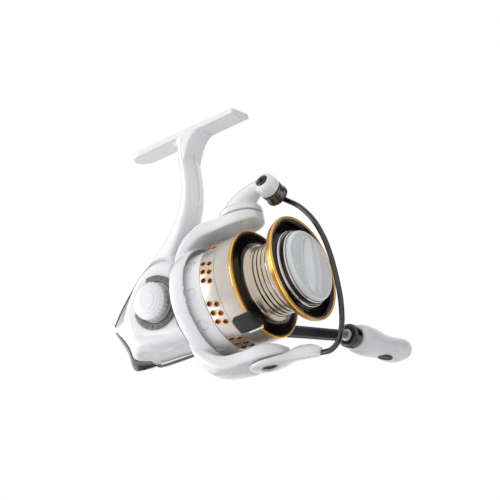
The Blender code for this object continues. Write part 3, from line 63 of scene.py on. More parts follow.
# ---------------------------------------------------------------- materials
class Graph:
    """A Principled material with short helpers for its nodes."""

    def __init__(self, name, color, metallic=0.0, rough=0.4, coat=0.0, coat_rough=0.1, specular=0.5):
        self.mat = bpy.data.materials.new(name)
        self.mat.use_nodes = True
        self.tree = self.mat.node_tree
        self.shader = self.tree.nodes["Principled BSDF"]
        self.set("Base Color", (*color, 1.0))
        self.set("Metallic", metallic)
        self.set("Roughness", rough)
        self.set("Coat Weight", coat)
        self.set("Coat Roughness", coat_rough)
        self.set("Specular IOR Level", specular)
        self.mat.diffuse_color = (*color, 1.0)
        self.coords = None

    def set(self, socket, value):
        self.shader.inputs[socket].default_value = value

    def node(self, kind, **values):
        made = self.tree.nodes.new(kind)
        for key, value in values.items():
            if key in made.inputs:
                made.inputs[key].default_value = value
            else:
                setattr(made, key, value)
        return made

    def link(self, a, b):
        self.tree.links.new(a, b)

    def place(self, scale=(1, 1, 1), turn=(0, 0, 0)):
        if self.coords is None:
            self.coords = self.node("ShaderNodeTexCoord")
        mapping = self.node("ShaderNodeMapping")
        mapping.inputs["Scale"].default_value = scale
        mapping.inputs["Rotation"].default_value = turn
        self.link(self.coords.outputs["Object"], mapping.inputs["Vector"])
        return mapping.outputs["Vector"]

    def noise(self, scale, detail=3.0, rough=0.55, stretch=(1, 1, 1), turn=(0, 0, 0)):
        made = self.node("ShaderNodeTexNoise")
        made.inputs["Scale"].default_value = scale
        made.inputs["Detail"].default_value = detail
        made.inputs["Roughness"].default_value = rough
        self.link(self.place(stretch, turn), made.inputs["Vector"])
        return made.outputs["Fac"]

    def ramp(self, source, stops):
        made = self.node("ShaderNodeValToRGB")
        band = made.color_ramp
        while len(band.elements) < len(stops):
            band.elements.new(0.5)
        for element, (spot, color) in zip(band.elements, stops):
            element.position = spot
            element.color = (*color, 1.0) if len(color) == 3 else color
        self.link(source, made.inputs["Fac"])
        return made.outputs["Color"]

    def ranged(self, source, low, high):
        made = self.node("ShaderNodeMapRange")
        made.inputs["To Min"].default_value = low
        made.inputs["To Max"].default_value = high
        self.link(source, made.inputs["Value"])
        return made.outputs["Result"]

    def color(self, source):
        self.link(source, self.shader.inputs["Base Color"])

    def rough(self, source, low, high):
        self.link(self.ranged(source, low, high), self.shader.inputs["Roughness"])

    def bump(self, source, strength, distance):
        made = self.node("ShaderNodeBump")
        made.inputs["Strength"].default_value = strength
        made.inputs["Distance"].default_value = distance
        self.link(source, made.inputs["Height"])
        self.link(made.outputs["Normal"], self.shader.inputs["Normal"])


def tint(color, factor):
    return tuple(min(1.0, c * factor) for c in color)


def pearl(name, color, low=0.2, high=0.32, coat=0.5):
    """Lacquered plastic: fine flake in the colour, a soft clear coat and faint handling marks."""
    g = Graph(name, color, rough=low, coat=coat, coat_rough=0.06)
    flake = g.noise(2600, 2.0)
    cloud = g.noise(55, 3.0)
    mix = g.node("ShaderNodeMix", data_type="FLOAT")
    mix.inputs["Factor"].default_value = 0.35
    g.link(cloud, mix.inputs[2])
    g.link(flake, mix.inputs[3])
    g.color(g.ramp(mix.outputs[0], [(0.3, tint(color, 0.965)), (0.5, color), (0.72, tint(color, 1.025))]))
    g.rough(g.noise(160, 4.0), low, high)
    g.bump(g.noise(900, 2.0), 0.03, 0.0001)
    return g.mat


def metal(name, color, rough=0.2, spread=0.1, stretch=(1, 1, 1), grain=300, depth=0.05, coat=0.0):
    """Metal with drawn or turned grain, uneven polish and small tone changes."""
    g = Graph(name, color, metallic=1.0, rough=rough, coat=coat)
    drawn = g.noise(grain, 4.0, 0.6, stretch)
    wear = 0.12
    tones = [(0.3, tint(color, 1 - wear)), (0.55, color), (0.75, tint(color, 1 + wear))]
    g.color(g.ramp(g.noise(40, 3.0), tones))
    g.rough(drawn, max(0.02, rough - spread / 2), rough + spread)
    g.bump(drawn, depth, 0.0001)
    return g.mat


def plastic(name, color, low=0.35, high=0.5, grain=700, depth=0.08, coat=0.0, vary=0.08):
    """Moulded plastic with a fine spark-eroded grain; vary is how far its tone wanders."""
    g = Graph(name, color, rough=low, coat=coat)
    tones = [(0.3, tint(color, 1 - vary)), (0.6, color), (0.8, tint(color, 1 + vary * 0.75))]
    g.color(g.ramp(g.noise(90, 3.0), tones))
    g.rough(g.noise(220, 4.0), low, high)
    g.bump(g.noise(grain, 3.0), depth, 0.0001)
    return g.mat


WHITE = pearl("pearl_white", (0.72, 0.725, 0.74))
GRIP_WHITE = plastic("grip_white", (0.66, 0.65, 0.685), 0.3, 0.42, 500, 0.05, 0.25)
CAP_WHITE = pearl("knob_white", (0.69, 0.705, 0.72), 0.14, 0.24, 0.7)
GUN = metal("gunmetal", (0.05, 0.05, 0.053), 0.2, 0.1, coat=0.3)
GUN_LIGHT = metal("gunmetal_light", (0.17, 0.165, 0.16), 0.26, 0.12)
WIRE_METAL = metal("wire_steel", (0.075, 0.073, 0.072), 0.14, 0.08, (6, 1, 1))
CHAMPAGNE = metal("champagne", (0.56, 0.525, 0.47), 0.27, 0.1, (9, 0.6, 0.6), 260, 0.05)
ARBOR = metal("arbor_metal", (0.56, 0.49, 0.385), 0.2, 0.1, (9, 0.6, 0.6), 260, 0.04)
BLACK_CHROME = metal("black_chrome", (0.03, 0.027, 0.023), 0.14, 0.08, coat=0.25, depth=0.02)
GOLD = metal("gold_anodised", (0.78, 0.43, 0.09), 0.2, 0.1, (9, 1, 1))
COPPER = metal("copper_edge", (0.52, 0.23, 0.08), 0.22, 0.1)
COPPER_DEEP = metal("copper_lining", (0.22, 0.08, 0.03), 0.3, 0.12)
# Whiter than the knob's white: a painted highlight for the glints on the embossed dots.
DOT_PAINTED_HIGHLIGHT = pearl("dot_painted_highlight", (0.93, 0.93, 0.93), 0.1, 0.2, 0.8)
SILVER = metal("silver_steps", (0.62, 0.62, 0.62), 0.14, 0.08)
# Near-white metal for a strip on the clip's lower edge: a painted highlight of its lit edge.
CLIP_PAINTED_HIGHLIGHT = metal("clip_painted_highlight", (0.9, 0.9, 0.9), 0.3, 0.1)
BLACK_CLIP = plastic("black_clip", (0.006, 0.0062, 0.0075), 0.42, 0.55, 600, 0.03, 0.0)
BLACK = plastic("black_plastic", (0.008, 0.008, 0.0095), 0.2, 0.3, 600, 0.03, 0.0)
# Darker copy of the gold: painted shade and reflection for the lip's dim rear side.
GOLD_PAINTED_SHADE = metal("gold_painted_shade", (0.34, 0.165, 0.045), 0.22, 0.1, (9, 1, 1))
BLACK_GLOSS = metal("boss_black", (0.05, 0.05, 0.052), 0.16, 0.1, coat=0.6)
RIVET = metal("rivet_steel", (0.36, 0.34, 0.31), 0.3, 0.12)
STEEL = metal("plain_steel", (0.55, 0.55, 0.57), 0.24, 0.12)
BRASS = metal("brass_parts", (0.70, 0.50, 0.20), 0.3, 0.12)
ZINC = metal("cast_zinc", (0.42, 0.43, 0.45), 0.42, 0.14, depth=0.15)
GREY = plastic("grey_nylon", (0.20, 0.20, 0.21))
FELT = plastic("drag_felt", (0.22, 0.18, 0.13), 0.85, 0.98, 1500, 0.6)
# Near-black for the ring's real tick marks, and as painted shade along the keel seam and under the grip.
TICK_DARK_AND_PAINTED_SHADE = plastic("ticks_and_painted_shade", (0.03, 0.03, 0.035), 0.5, 0.6)


# ---------------------------------------------------------------- mesh makers
def add(name, data):
    """Makes an object of the data and links it to the scene."""
    made = bpy.data.objects.new(name, data)
    bpy.context.scene.collection.objects.link(made)
    return made


def put(name, mesh, look, body, stands_for, angle=40.0):
    """Links a mesh as a piece of the reel with its material, body and the nodes it stands for."""
    piece = add(name, mesh)
    mesh.materials.clear()
    mesh.materials.append(look)
    for polygon in mesh.polygons:
        polygon.use_smooth = True
    mesh.set_sharp_from_angle(angle=math.radians(angle))
    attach(piece, body)
    if stands_for:
        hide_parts(*stands_for)


def as_mesh(name, points, faces):
    mesh = bpy.data.meshes.new(name)
    mesh.from_pydata([row(p) for p in points], [], faces)
    work = bmesh.new()
    work.from_mesh(mesh)
    bmesh.ops.remove_doubles(work, verts=work.verts, dist=1e-7)
    bmesh.ops.recalc_face_normals(work, faces=work.faces)
    if work.calc_volume(signed=True) < 0:
        bmesh.ops.reverse_faces(work, faces=work.faces)
    work.to_mesh(mesh)
    work.free()
    return mesh


def fillet(points, radius, steps=3, closed=True):
    """Rounds the corners of a 2D outline."""
    count = len(points)
    out = []
    for i, here in enumerate(points):
        here = Vector(here)
        if not closed and i in (0, count - 1):
            out.append(tuple(here))
            continue
        back = Vector(points[i - 1]) - here
        ahead = Vector(points[(i + 1) % count]) - here
        reach = min(radius, back.length * 0.48, ahead.length * 0.48)
        a, b = here + back.normalized() * reach, here + ahead.normalized() * reach
        for k in range(steps + 1):
            t = k / steps
            out.append(tuple(a * (1 - t) ** 2 + here * 2 * t * (1 - t) + b * t * t))
    return out


def basis(axis):
    """The axis as a unit vector, with two directions square to it."""
    axis = Vector(axis).normalized()
    side = axis.orthogonal().normalized()
    if abs(axis.z) < 0.99:
        side = Z_AXIS.cross(axis).normalized()
    return axis, side, axis.cross(side)


def turns(count):
    return [2 * math.pi * i / count for i in range(count)]


def squared(value, power):
    """A sine or cosine pushed outward, which makes a circle into a rounded box."""
    return math.copysign(abs(value) ** power, value)


def strip(a, b):
    """Faces between two closed rows of point numbers; a row may repeat one point."""
    faces = []
    for i in range(len(a)):
        j = (i + 1) % len(a)
        face = list(dict.fromkeys((a[i], a[j], b[j], b[i])))
        if len(face) > 2:
            faces.append(face)
    return faces


def revolve_mesh(name, profile, centre=(0, 0, 0), axis=X_AXIS, count=96, ripple=None):
    """Turns an (along, radius) outline round an axis; a closed outline gives a ring."""
    axis, side, rise = basis(axis)
    centre = Vector(centre)
    points, faces, rows = [], [], []
    for along, radius in profile:
        if radius < ON_AXIS:
            rows.append([len(points)] * count)
            points.append(centre + axis * along)
            continue
        rows.append(list(range(len(points), len(points) + count)))
        for turn in turns(count):
            r = radius + (ripple(radius, turn) if ripple else 0.0)
            points.append(centre + axis * along + side * r * math.cos(turn) + rise * r * math.sin(turn))
    open_ends = profile[0][1] < ON_AXIS and profile[-1][1] < ON_AXIS
    for k in range(len(rows) - 1 if open_ends else len(rows)):
        faces += strip(rows[k], rows[(k + 1) % len(rows)])
    return as_mesh(name, points, faces)


def loft_mesh(name, rings, cap=True):
    """Skins equal rings of points; the ends are closed with a fan round their middle."""
    points, faces = [], []
    count = len(rings[0])
    for ring in rings:
        points.extend(Vector(p) for p in ring)
    for k in range(len(rings) - 1):
        for i in range(count):
            j = (i + 1) % count
            faces.append([k * count + i, k * count + j, (k + 1) * count + j, (k + 1) * count + i])
    if cap:
        for k in (0, len(rings) - 1):
            middle = sum((Vector(p) for p in rings[k]), Vector()) / count
            points.append(middle)
            for i in range(count):
                faces.append([k * count + i, k * count + (i + 1) % count, len(points) - 1])
    return as_mesh(name, points, faces)


def through(p0, p1, p2, p3, t):
    """Catmull-Rom point at share t of the way from p1 to p2."""
    return 0.5 * ((2 * p1) + (p2 - p0) * t + (2 * p0 - 5 * p1 + 4 * p2 - p3) * t * t
                  + (3 * p1 - p0 - 3 * p2 + p3) * t ** 3)


def spline(points, steps):
    """Smooth open line through the points."""
    pts = [Vector(p) for p in points]
    out = []
    for i in range(len(pts) - 1):
        before = pts[i - 1] if i else pts[0] * 2 - pts[1]
        after = pts[i + 2] if i + 2 < len(pts) else pts[-1] * 2 - pts[-2]
        out += [through(before, pts[i], pts[i + 1], after, k / steps) for k in range(steps)]
    out.append(pts[-1])
    return out


def sweep_mesh(name, path, size, count=24, power=1.0):
    """Skins an oval along a path; size gives (half width, half height) at each share of the path."""
    path = [Vector(p) for p in path]
    rings = []
    up = Z_AXIS
    for k, spot in enumerate(path):
        ahead = path[min(k + 1, len(path) - 1)] - path[max(k - 1, 0)]
        ahead.normalize()
        side = up.cross(ahead).normalized()
        up = ahead.cross(side)
        wide, tall = size(k / (len(path) - 1))
        rings.append([spot + side * wide * squared(math.cos(a), power) + up * tall * squared(math.sin(a), power)
                      for a in turns(count)])
    return loft_mesh(name, rings)


def prism_mesh(name, outline, low, high, axis="Y", bevel=0.0):
    """Extrudes a 2D outline along Y or Z and rounds its edges."""
    def spot(u, v, w):
        return (u, w, v) if axis == "Y" else (u, v, w)
    count = len(outline)
    points = [spot(u, v, low) for u, v in outline] + [spot(u, v, high) for u, v in outline]
    faces = [list(range(count)), list(range(count, 2 * count))]
    for i in range(count):
        j = (i + 1) % count
        faces.append([i, j, count + j, count + i])
    mesh = as_mesh(name, points, faces)
    if bevel > 0:
        modify(mesh, ("BEVEL", {"width": bevel / 1000, "segments": 2, "limit_method": "ANGLE",
                                "angle_limit": math.radians(30)}))
    return mesh


def modify(mesh, *steps):
    """Applies modifiers to a mesh and keeps the result."""
    holder = add("work", mesh)
    for kind, settings in steps:
        tool = holder.modifiers.new(kind, kind)
        for key, value in settings.items():
            setattr(tool, key, value)
    graph = bpy.context.evaluated_depsgraph_get()
    graph.update()
    made = bpy.data.meshes.new_from_object(holder.evaluated_get(graph))
    work = bmesh.new()
    work.from_mesh(made)
    mesh.clear_geometry()
    work.to_mesh(mesh)
    work.free()
    bpy.data.meshes.remove(made)
    bpy.data.objects.remove(holder)
    return mesh


def cut(mesh, *others):
    """Takes the other meshes away from a mesh, exactly."""
    made = [add("tool", other) for other in others]
    modify(mesh, *[("BOOLEAN", {"operation": "DIFFERENCE", "object": tool, "solver": "EXACT"})
                   for tool in made])
    for tool in made:
        bpy.data.objects.remove(tool)
    return mesh


def merged(meshes, name="merged"):
    """One mesh with the faces of them all."""
    work = bmesh.new()
    for mesh in meshes:
        work.from_mesh(mesh)
    made = bpy.data.meshes.new(name)
    work.to_mesh(made)
    work.free()
    return made


def fuse(name, meshes, voxel, smooth):
    """One moulded skin round overlapping solids, with soft fillets where they meet."""
    return modify(merged(meshes, name),
                  ("REMESH", {"mode": "VOXEL", "voxel_size": voxel / 1000, "adaptivity": 0.0}),
                  ("SMOOTH", {"factor": 0.5, "iterations": smooth}))


# ---------------------------------------------------------------- gearbox, stem and foot
# Closed (X, Z) outlines of a gearbox half: where it meets the other half, where its keel turns into
# the side, and the edge of the flat side.
SEAM = (
    (-60.0, 22.5), (-62.0, 28.0), (-67.0, 31.8), (-76.0, 33.6), (-84.0, 31.2), (-90.7, 26.4), (-97.4, 20.7),
    (-103.4, 15.1), (-108.6, 9.2), (-108.9, 6.2), (-105.0, -1.4), (-102.7, -7.6), (-101.9, -12.8),
    (-99.2, -15.2), (-90.0, -16.4), (-61.6, -18.4), (-60.0, -17.4),
)
CREASE = (
    (-60.0, 18.5), (-61.5, 22.5), (-65.5, 25.0), (-71.5, 25.2), (-78.2, 22.6), (-84.0, 17.8), (-88.2, 12.4),
    (-91.6, 7.5), (-92.0, 3.0), (-92.0, 0.4), (-91.8, -4.0), (-91.4, -7.8), (-90.6, -10.8), (-88.6, -12.4),
    (-84.0, -12.8), (-61.6, -14.2), (-60.0, -13.2),
)
FLAT = (
    (-60.6, 15.0), (-63.0, 18.6), (-67.2, 20.6), (-72.6, 20.8), (-77.8, 18.8), (-82.4, 15.2), (-85.6, 11.2),
    (-87.6, 7.5), (-88.1, 3.5), (-88.0, 0.6), (-87.4, -3.0), (-86.2, -5.8), (-84.6, -7.8), (-82.0, -9.2),
    (-78.0, -9.8), (-62.0, -11.0), (-60.6, -10.0),
)


def closed_curve(points, steps):
    """Smooth closed line through 2D points."""
    pts = [Vector(p) for p in points]
    count = len(pts)
    return [through(pts[i - 1], pts[i], pts[(i + 1) % count], pts[(i + 2) % count], k / steps)
            for i in range(count) for k in range(steps)]


def body_shell(name, side, wall=0.0):
    """Half of the gearbox: keel-shaped rear and underside that roll over into a flat side.

    With a wall it is the hollow inside, which reaches past the seam.
    """
    lines = [closed_curve(line, 4) for line in (SEAM, CREASE, FLAT)]
    if wall:
        middle, mean_reach = Vector((-76.0, 4.0)), 24.0
        lines = [[middle + (p - middle) * (1 - wall / mean_reach) for p in line] for line in lines]
    seam, crease, flat = lines
    deep = BODY_HALF_WIDTH - wall
    keel = 0.82    # share of the width where the keel ends and the side begins
    rings = []

    def ring(y, a, b, share):
        rings.append([(p.x + (q.x - p.x) * share, y, p.y + (q.y - p.y) * share) for p, q in zip(a, b)])
    start = -3.0 if wall else 0.15
    ring(side * start, seam, crease, 0.0)
    for share in (0.2, 0.4, 0.6, 0.8, 0.93):
        ring(side * deep * keel * share, seam, crease, share * 0.97)
    for level, share in ((keel, 0.04), (0.89, 0.22), (0.945, 0.45), (0.98, 0.7), (0.998, 0.92), (1.0, 1.0)):
        ring(side * deep * level, crease, flat, share)
    return loft_mesh(name, rings)


def stem_mesh():
    """Curved stem from the gearbox to the foot, from (share of height, front, back, half widths)."""
    top, base = 84.7, 25.5
    stations = [
        (0.00, -67.0, -85.0, 8.0, 6.0), (0.10, -63.5, -79.0, 7.4, 5.2), (0.24, -57.5, -67.9, 7.0, 4.8),
        (0.38, -52.6, -60.5, 6.9, 4.5), (0.52, -50.2, -56.0, 6.9, 4.4), (0.68, -49.1, -54.2, 6.9, 4.4),
        (0.84, -49.2, -53.4, 6.9, 4.4), (0.93, -48.3, -53.0, 6.9, 4.6), (1.00, -45.5, -54.5, 6.75, 5.0),
    ]
    rings = []
    for share, front, back, wide, narrow in spline(stations, 4):
        z = base + share * (top - base)
        lean = 0.35 * (1 - share)
        half = [
            (front + 2.1, 0.0, z + lean * 2.1), (front + 1.1, wide * 0.55, z + lean), (front, wide, z),
            (front * 0.75 + back * 0.25, wide + 0.1, z - lean),
            ((front + back) / 2, (wide + narrow) / 2 + 0.7, z - lean * 2),
            (back, narrow, z - lean * 4), (back - 0.5, 0.0, z - lean * 4.4),
        ]
        rings.append(half + [(x, -y, z) for x, y, z in half[5:0:-1]])
    return loft_mesh("stem", rings)


def foot_mesh():
    """Flat foot plate: square at the front, round at the back."""
    half, back, front = 6.75, -73.65, -17.4
    outline = [(front, -6.2), (front, 6.2), (front - 0.5, half)]
    for i in range(17):
        angle = math.pi / 2 + i * math.pi / 16
        outline.append((back + half * math.cos(angle), half * math.sin(angle)))
    outline.append((front - 0.5, -half))
    return prism_mesh("foot", outline, FOOT_TOP - 2.6, FOOT_TOP, "Z", 0.3)


def gusset(x0, x1, z0, half, lean=2.4):
    """Fillet wedge between the stem and the foot."""
    points, faces = [], []
    steps, under = 10, 83.6
    for k in range(steps + 1):
        t = k / steps
        x = x0 + (x1 - x0) * t
        z = under - (under - z0) * (1 - t) ** lean
        points += [(x, -half, z), (x, half, z), (x, half, under + 1), (x, -half, under + 1)]
    for k in range(steps):
        for i in range(4):
            j = (i + 1) % 4
            faces.append([4 * k + i, 4 * k + j, 4 * k + 4 + j, 4 * k + 4 + i])
    faces += [[0, 1, 2, 3], [4 * steps + i for i in range(4)]]
    return as_mesh("gusset", points, faces)


def press(mesh, start, end, width, depth):
    """Presses a soft groove into the near side along a line in X and Z."""
    a, b = row((start[0], 0, start[1])), row((end[0], 0, end[1]))
    a, b = Vector((a[0], a[2])), Vector((b[0], b[2]))
    for vertex in mesh.vertices:
        if vertex.co.y > -0.008:
            continue
        spot = Vector((vertex.co.x, vertex.co.z))
        share = max(0.0, min(1.0, (spot - a).dot(b - a) / (b - a).length_squared))
        gap = (spot - a - (b - a) * share).length * 1000 / width
        vertex.co.y += depth / 1000 * math.exp(-gap * gap) * min(1.0, share * 5, (1.0 - share) * 5 + 0.4)


def make_body():
    """Near half with the stem in one skin, the foot plate and the far half."""
    hollow_wall, near, far_side = 2.0, -1.0, 1.0
    main = fuse("body_near_and_foot", [body_shell("near", near), stem_mesh()], 0.5, 18)
    press(main, (-88.0, -6.5), (-58.0, -13.4), 1.3, 0.9)
    press(main, (-87.0, -12.4), (-60.0, -16.6), 1.0, 0.8)
    cut(main, fuse("hollow_near", [body_shell("hollow", near, hollow_wall)], 0.9, 2))
    put("body_near_and_stem", main, WHITE, "frame", ("body_frame",), 50)
    foot = fuse("foot", [foot_mesh(), gusset(-49.5, -36.5, 70.0, 6.7),
                         gusset(-53.2, -57.0, 79.5, 4.4, 2.0)], 0.4, 3)
    put("foot_plate", foot, WHITE, "frame", (), 50)
    far = fuse("body_far", [body_shell("far", far_side)], 0.5, 8)
    cut(far, fuse("hollow_far", [body_shell("hollow", far_side, hollow_wall)], 0.9, 2), stem_mesh())
    put("body_far_half", far, WHITE, "frame", ("side_cover",), 50)
    rear_guard()


def rear_guard():
    """Dark guard let into the lower rear keel, and a near-black strip along the seam above it as painted shade."""
    thickness = (0.15, 0.35, 0.5, 0.7, 1.0, 0.5)
    half = (1.8, 4.6, 6.6, 7.4, 7.2, 3.6)
    rings = []
    for k in range(17):
        t = -1.0 + k / 8.0
        inner, outer = [], []
        for n, i in enumerate(range(9, 15)):
            y = t * half[n]
            share = 0.52 * abs(y) / 8.16
            here = Vector(SEAM[i]).lerp(Vector(CREASE[i]), share)
            along = Vector(SEAM[i + 1]) - Vector(SEAM[i - 1])
            away = Vector((along.y, -along.x)).normalized()
            if away.x > 0 and away.y > 0:
                away = -away
            low = here - away * 0.2
            high = here + away * (0.12 + thickness[n] * (1.0 - t ** 6))
            inner.append((low.x, y, low.y))
            outer.append((high.x, y, high.y))
        rings.append(spline(inner, 3) + spline(outer[::-1], 3))
    put("rear_guard", loft_mesh("rear_guard", rings), GUN_LIGHT, "frame", ("rear_cover",), 35)
    # A near-black strip along the seam: painted shade in the joint between the halves.
    line = ((-89.6, 27.4), (-91.0, 26.5), (-97.6, 20.9), (-103.6, 15.3), (-108.8, 9.3))
    seam = sweep_mesh("keel_seam_shade", spline([(x, 0.0, z) for x, z in line], 6),
                      lambda t: (0.42 - 0.2 * t, 0.4), 12)
    put("keel_seam_shade", seam, TICK_DARK_AND_PAINTED_SHADE, "frame", ())


make_body()


# ---------------------------------------------------------------- cap, its ring and the underside lever
def make_cap():
    """Knurled cap over the unused handle side, the open ring round it and the lever under the body."""
    low = -18.6
    outline = fillet([(0, -25.0), (4.4, -25.0), (4.9, -24.6), (5.9, -24.6), (6.4, -24.2), (7.2, -24.0),
                      (9.0, -22.6), (9.2, -20.4), (9.0, low - 0.3), (0, low - 0.3)], 0.35, 3, closed=False)

    def flute(radius, turn):
        if radius < 8.0:
            return 0.0
        return -0.32 * abs(math.sin(turn * 14)) ** 0.6
    cap = revolve_mesh("cap", [(a, r) for r, a in outline], GEAR_HUB, Y_AXIS, 168, flute)
    put("near_cap", cap, WHITE, "handle", ("screw_cap",), 32)

    def crescent(radius, turn):
        """Thins the ring away where the stem's root covers it."""
        angle = math.degrees(math.pi - turn) % 360
        hidden = max(0.0, 1.0 - min(abs(angle - 146) / 44.0, 1.0) ** 5)
        return -(radius - 9.7) * 0.9 * (1.0 if hidden > 0.98 else hidden)
    ring = revolve_mesh("ring", [(a, r) for r, a in fillet(
        [(9.75, -17.3), (12.8, -17.3), (12.8, -18.1), (12.4, -18.5), (10.1, -18.5), (9.75, -18.2)], 0.12, 2)],
        GEAR_HUB, Y_AXIS, 180, crescent)
    cut(ring, prism_mesh("flat", [(-60.3, -30), (-40, -30), (-40, 40), (-60.3, 40)], -30, 0, "Y"))
    put("side_ring", ring, GUN_LIGHT, "frame", ("gear_side_ring",), 30)
    ticks, faces = [], []
    for k in range(22):
        angle = 2 * math.pi * (k + 0.5) / 22
        if math.cos(angle) > 0.82 or 80 < math.degrees(angle) % 360 < 215:
            continue
        across = Vector((-math.sin(angle), math.cos(angle)))
        along = Vector((math.cos(angle), math.sin(angle)))
        start, end = (10.7, 12.3) if k % 2 else (11.3, 12.3)
        base = len(ticks)
        for y in (-18.45, -18.62):
            for r, w in ((start, -0.14), (start, 0.14), (end, 0.14), (end, -0.14)):
                spot = Vector((GEAR_HUB.x, GEAR_HUB.z)) + along * r + across * w
                ticks.append((spot.x, y, spot.y))
        faces += [[base, base + 1, base + 2, base + 3], [base + 4, base + 5, base + 6, base + 7]]
        faces += [[base + i, base + (i + 1) % 4, base + 4 + (i + 1) % 4, base + 4 + i] for i in range(4)]
    put("ring_ticks", as_mesh("ticks", ticks, faces), TICK_DARK_AND_PAINTED_SHADE, "frame", ())
    path = spline([(-87.5, 0, -18.0), (-82, 0, -18.6), (-72, 0, -19.1), (-64.2, 0, -19.4)], 6)
    lever = sweep_mesh("lever", path, lambda t: (1.8 - 0.5 * t, 0.42), 20, 0.6)
    put("stopper_lever", lever, GUN_LIGHT, "stopper", ("anti_reverse_lever",), 35)


make_cap()


# ---------------------------------------------------------------- rotor
def arm_mesh(name, side):
    """One rotor arm as a loft along X, from the rear band to a rounded front end.

    A station is (X, inner and outer reach, half width, how far the section bends round the band).
    """
    band_r, cup_r = 27.3, 24.6
    stations = [
        (-57.9, 22.8, 30.4, 16.0, 1.0), (-57.3, 23.4, 32.4, 16.0, 1.0), (-55.8, 24.8, 34.3, 15.6, 0.85),
        (-53.4, 26.6, 35.4, 14.8, 0.6), (-50.0, 28.4, 36.0, 13.8, 0.35), (-46.0, 29.3, 36.1, 12.8, 0.1),
        (-42.0, 29.6, 36.0, 11.9, 0.0), (-38.6, 29.8, 35.8, 11.2, 0.0), (-35.0, 29.9, 35.6, 10.8, 0.0),
        (-27.5, 30.0, 35.6, 10.4, 0.0), (-23.4, 30.1, 35.6, 9.4, 0.0), (-20.4, 30.4, 35.5, 7.4, 0.0),
        (-18.6, 31.0, 35.2, 5.0, 0.0), (-17.7, 31.8, 34.7, 2.8, 0.0),
    ]
    shape = ((-0.86, 0.0), (-0.45, 0.0), (0.0, 0.0), (0.45, 0.0), (0.86, 0.0), (0.96, 0.03),
             (1.0, 0.16), (1.0, 0.5), (1.0, 0.84), (0.97, 0.95), (0.88, 1.0),
             (0.67, 1.02), (0.45, 1.03), (0.0, 1.04), (-0.45, 1.03),
             (-0.67, 1.02), (-0.88, 1.0), (-0.97, 0.95), (-1.0, 0.84), (-1.0, 0.5), (-1.0, 0.16), (-0.96, 0.03))
    rings = []
    dense = spline([Vector(s[:4]) for s in stations], 2)
    rounds = spline([Vector((s[4], 0, 0)) for s in stations], 2)
    for (x, inner, outer, half), round_off in zip(dense, rounds):
        ring = []
        for across, level in shape:
            y = half * across
            reach = band_r + (outer - band_r) * (1 - abs(across) ** 4)
            curved = math.sqrt(max(reach * reach - y * y, 0.0))
            low = math.sqrt(max(cup_r ** 2 - y * y, 0.0))
            flat_z = inner + (outer - inner) * level
            round_z = low + (curved - low) * min(level, 1.0)
            z = flat_z + (round_z - flat_z) * round_off.x
            ring.append((x, side * y, side * z))
        rings.append(ring)
    return loft_mesh(name, rings)


def on_skin(x, phi, radius, u=0.0, v=0.0):
    """Point on a cylinder round the spool's axis; phi runs from the near side up, u is across, v along X."""
    a = math.radians(phi) + u / radius
    return Vector((x + v, -radius * math.cos(a), radius * math.sin(a)))


def oval_cutter(x, phi, low, high, across, along, count=20):
    """Solid oval that stands through a skin from the low to the high radius."""
    return loft_mesh("oval", [[on_skin(x, phi, radius, across * math.cos(a) * radius / high, along * math.sin(a))
                               for a in turns(count)] for radius in (low, high)])


def oval_rim(x, phi, radius, across, along, thick, count=20):
    """Fine raised edge round an oval hole in the skirt."""
    rings = []
    for i in range(count + 1):
        a = 2 * math.pi * i / count
        spot = on_skin(x, phi, radius, across * math.cos(a), along * math.sin(a))
        out = Vector((0, spot.y, spot.z)).normalized()
        centre = on_skin(x, phi, radius)
        away = (spot - centre).normalized()
        rings.append([spot + away * thick * math.cos(b) + out * thick * 0.7 * math.sin(b)
                      for b in turns(6)])
    return loft_mesh("rim", rings, cap=False)


def make_rotor():
    """Rear band, cup and both arms in one skin, with the cup's pockets and the bail's pins."""
    band = revolve_mesh("band", [(-57.3, 23.4), (-57.2, 25.6), (-56.4, 26.9), (-54.6, 27.5),
                                 (-52.6, 27.6), (-50.4, 27.4), (-48.6, 26.9), (-48.2, 26.5),
                                 (-53.6, 26.45), (-53.6, 24.4), (-50.0, 24.4),
                                 (-38.9, 24.4), (-38.5, 24.1), (-38.5, 23.0), (-47.6, 23.0), (-47.6, 12.0),
                                 (-43.0, 12.0), (-43.0, 10.4), (-48.8, 10.4), (-48.8, 23.4)], count=144)
    skin = fuse("rotor", [band, arm_mesh("arm_a", 1.0), arm_mesh("arm_b", -1.0)], 0.42, 4)
    pockets = [POCKET_TURN + 360 // POCKETS * k for k in range(POCKETS)]
    tools = [oval_cutter(-46.9, phi, 23.85, 26.3, 2.9, 3.2, 28) for phi in pockets]
    for side in (1.0, -1.0):
        low, high = sorted((side * 31.8, side * 40.0))
        tools.append(revolve_mesh("bore", [(low, 0), (low, PIVOT_BORE_R), (high, PIVOT_BORE_R), (high, 0)],
                                  BAIL_PIVOT, Z_AXIS, 24))
    tools.append(revolve_mesh("dot", [(26.0, 0), (26.0, 0.7), (32.0, 0.7), (32.0, 0)],
                              (-23.7, -7.2, 0), Z_AXIS, 16))
    cut(skin, merged(tools))
    put("rotor_frame", skin, WHITE, "rotor_body", ("rotor", "arm_cover_top", "arm_cover_bottom"),
        50)
    plugs = [revolve_mesh("plug", [(23.1, 0), (23.1, 3.4), (24.05, 2.4), (24.2, 0)], (-46.6, 0, 0),
                          (0, -math.cos(math.radians(phi)), math.sin(math.radians(phi))), 20)
             for phi in pockets]
    put("cup_pockets", merged(plugs), WHITE, "rotor_body", (), 30)
    pin = fillet([(31.9, 0), (31.9, 2.0), (37.9, 2.0), (37.9, 0)], 0.3, 2, closed=False)
    put("bail_pins", merged([revolve_mesh("pin", pin, BAIL_PIVOT, (0, 0, side), 32) for side in (1.0, -1.0)]),
        STEEL, "rotor_body", ("bail_pivot_top", "bail_pivot_bottom"), 35)


make_rotor()


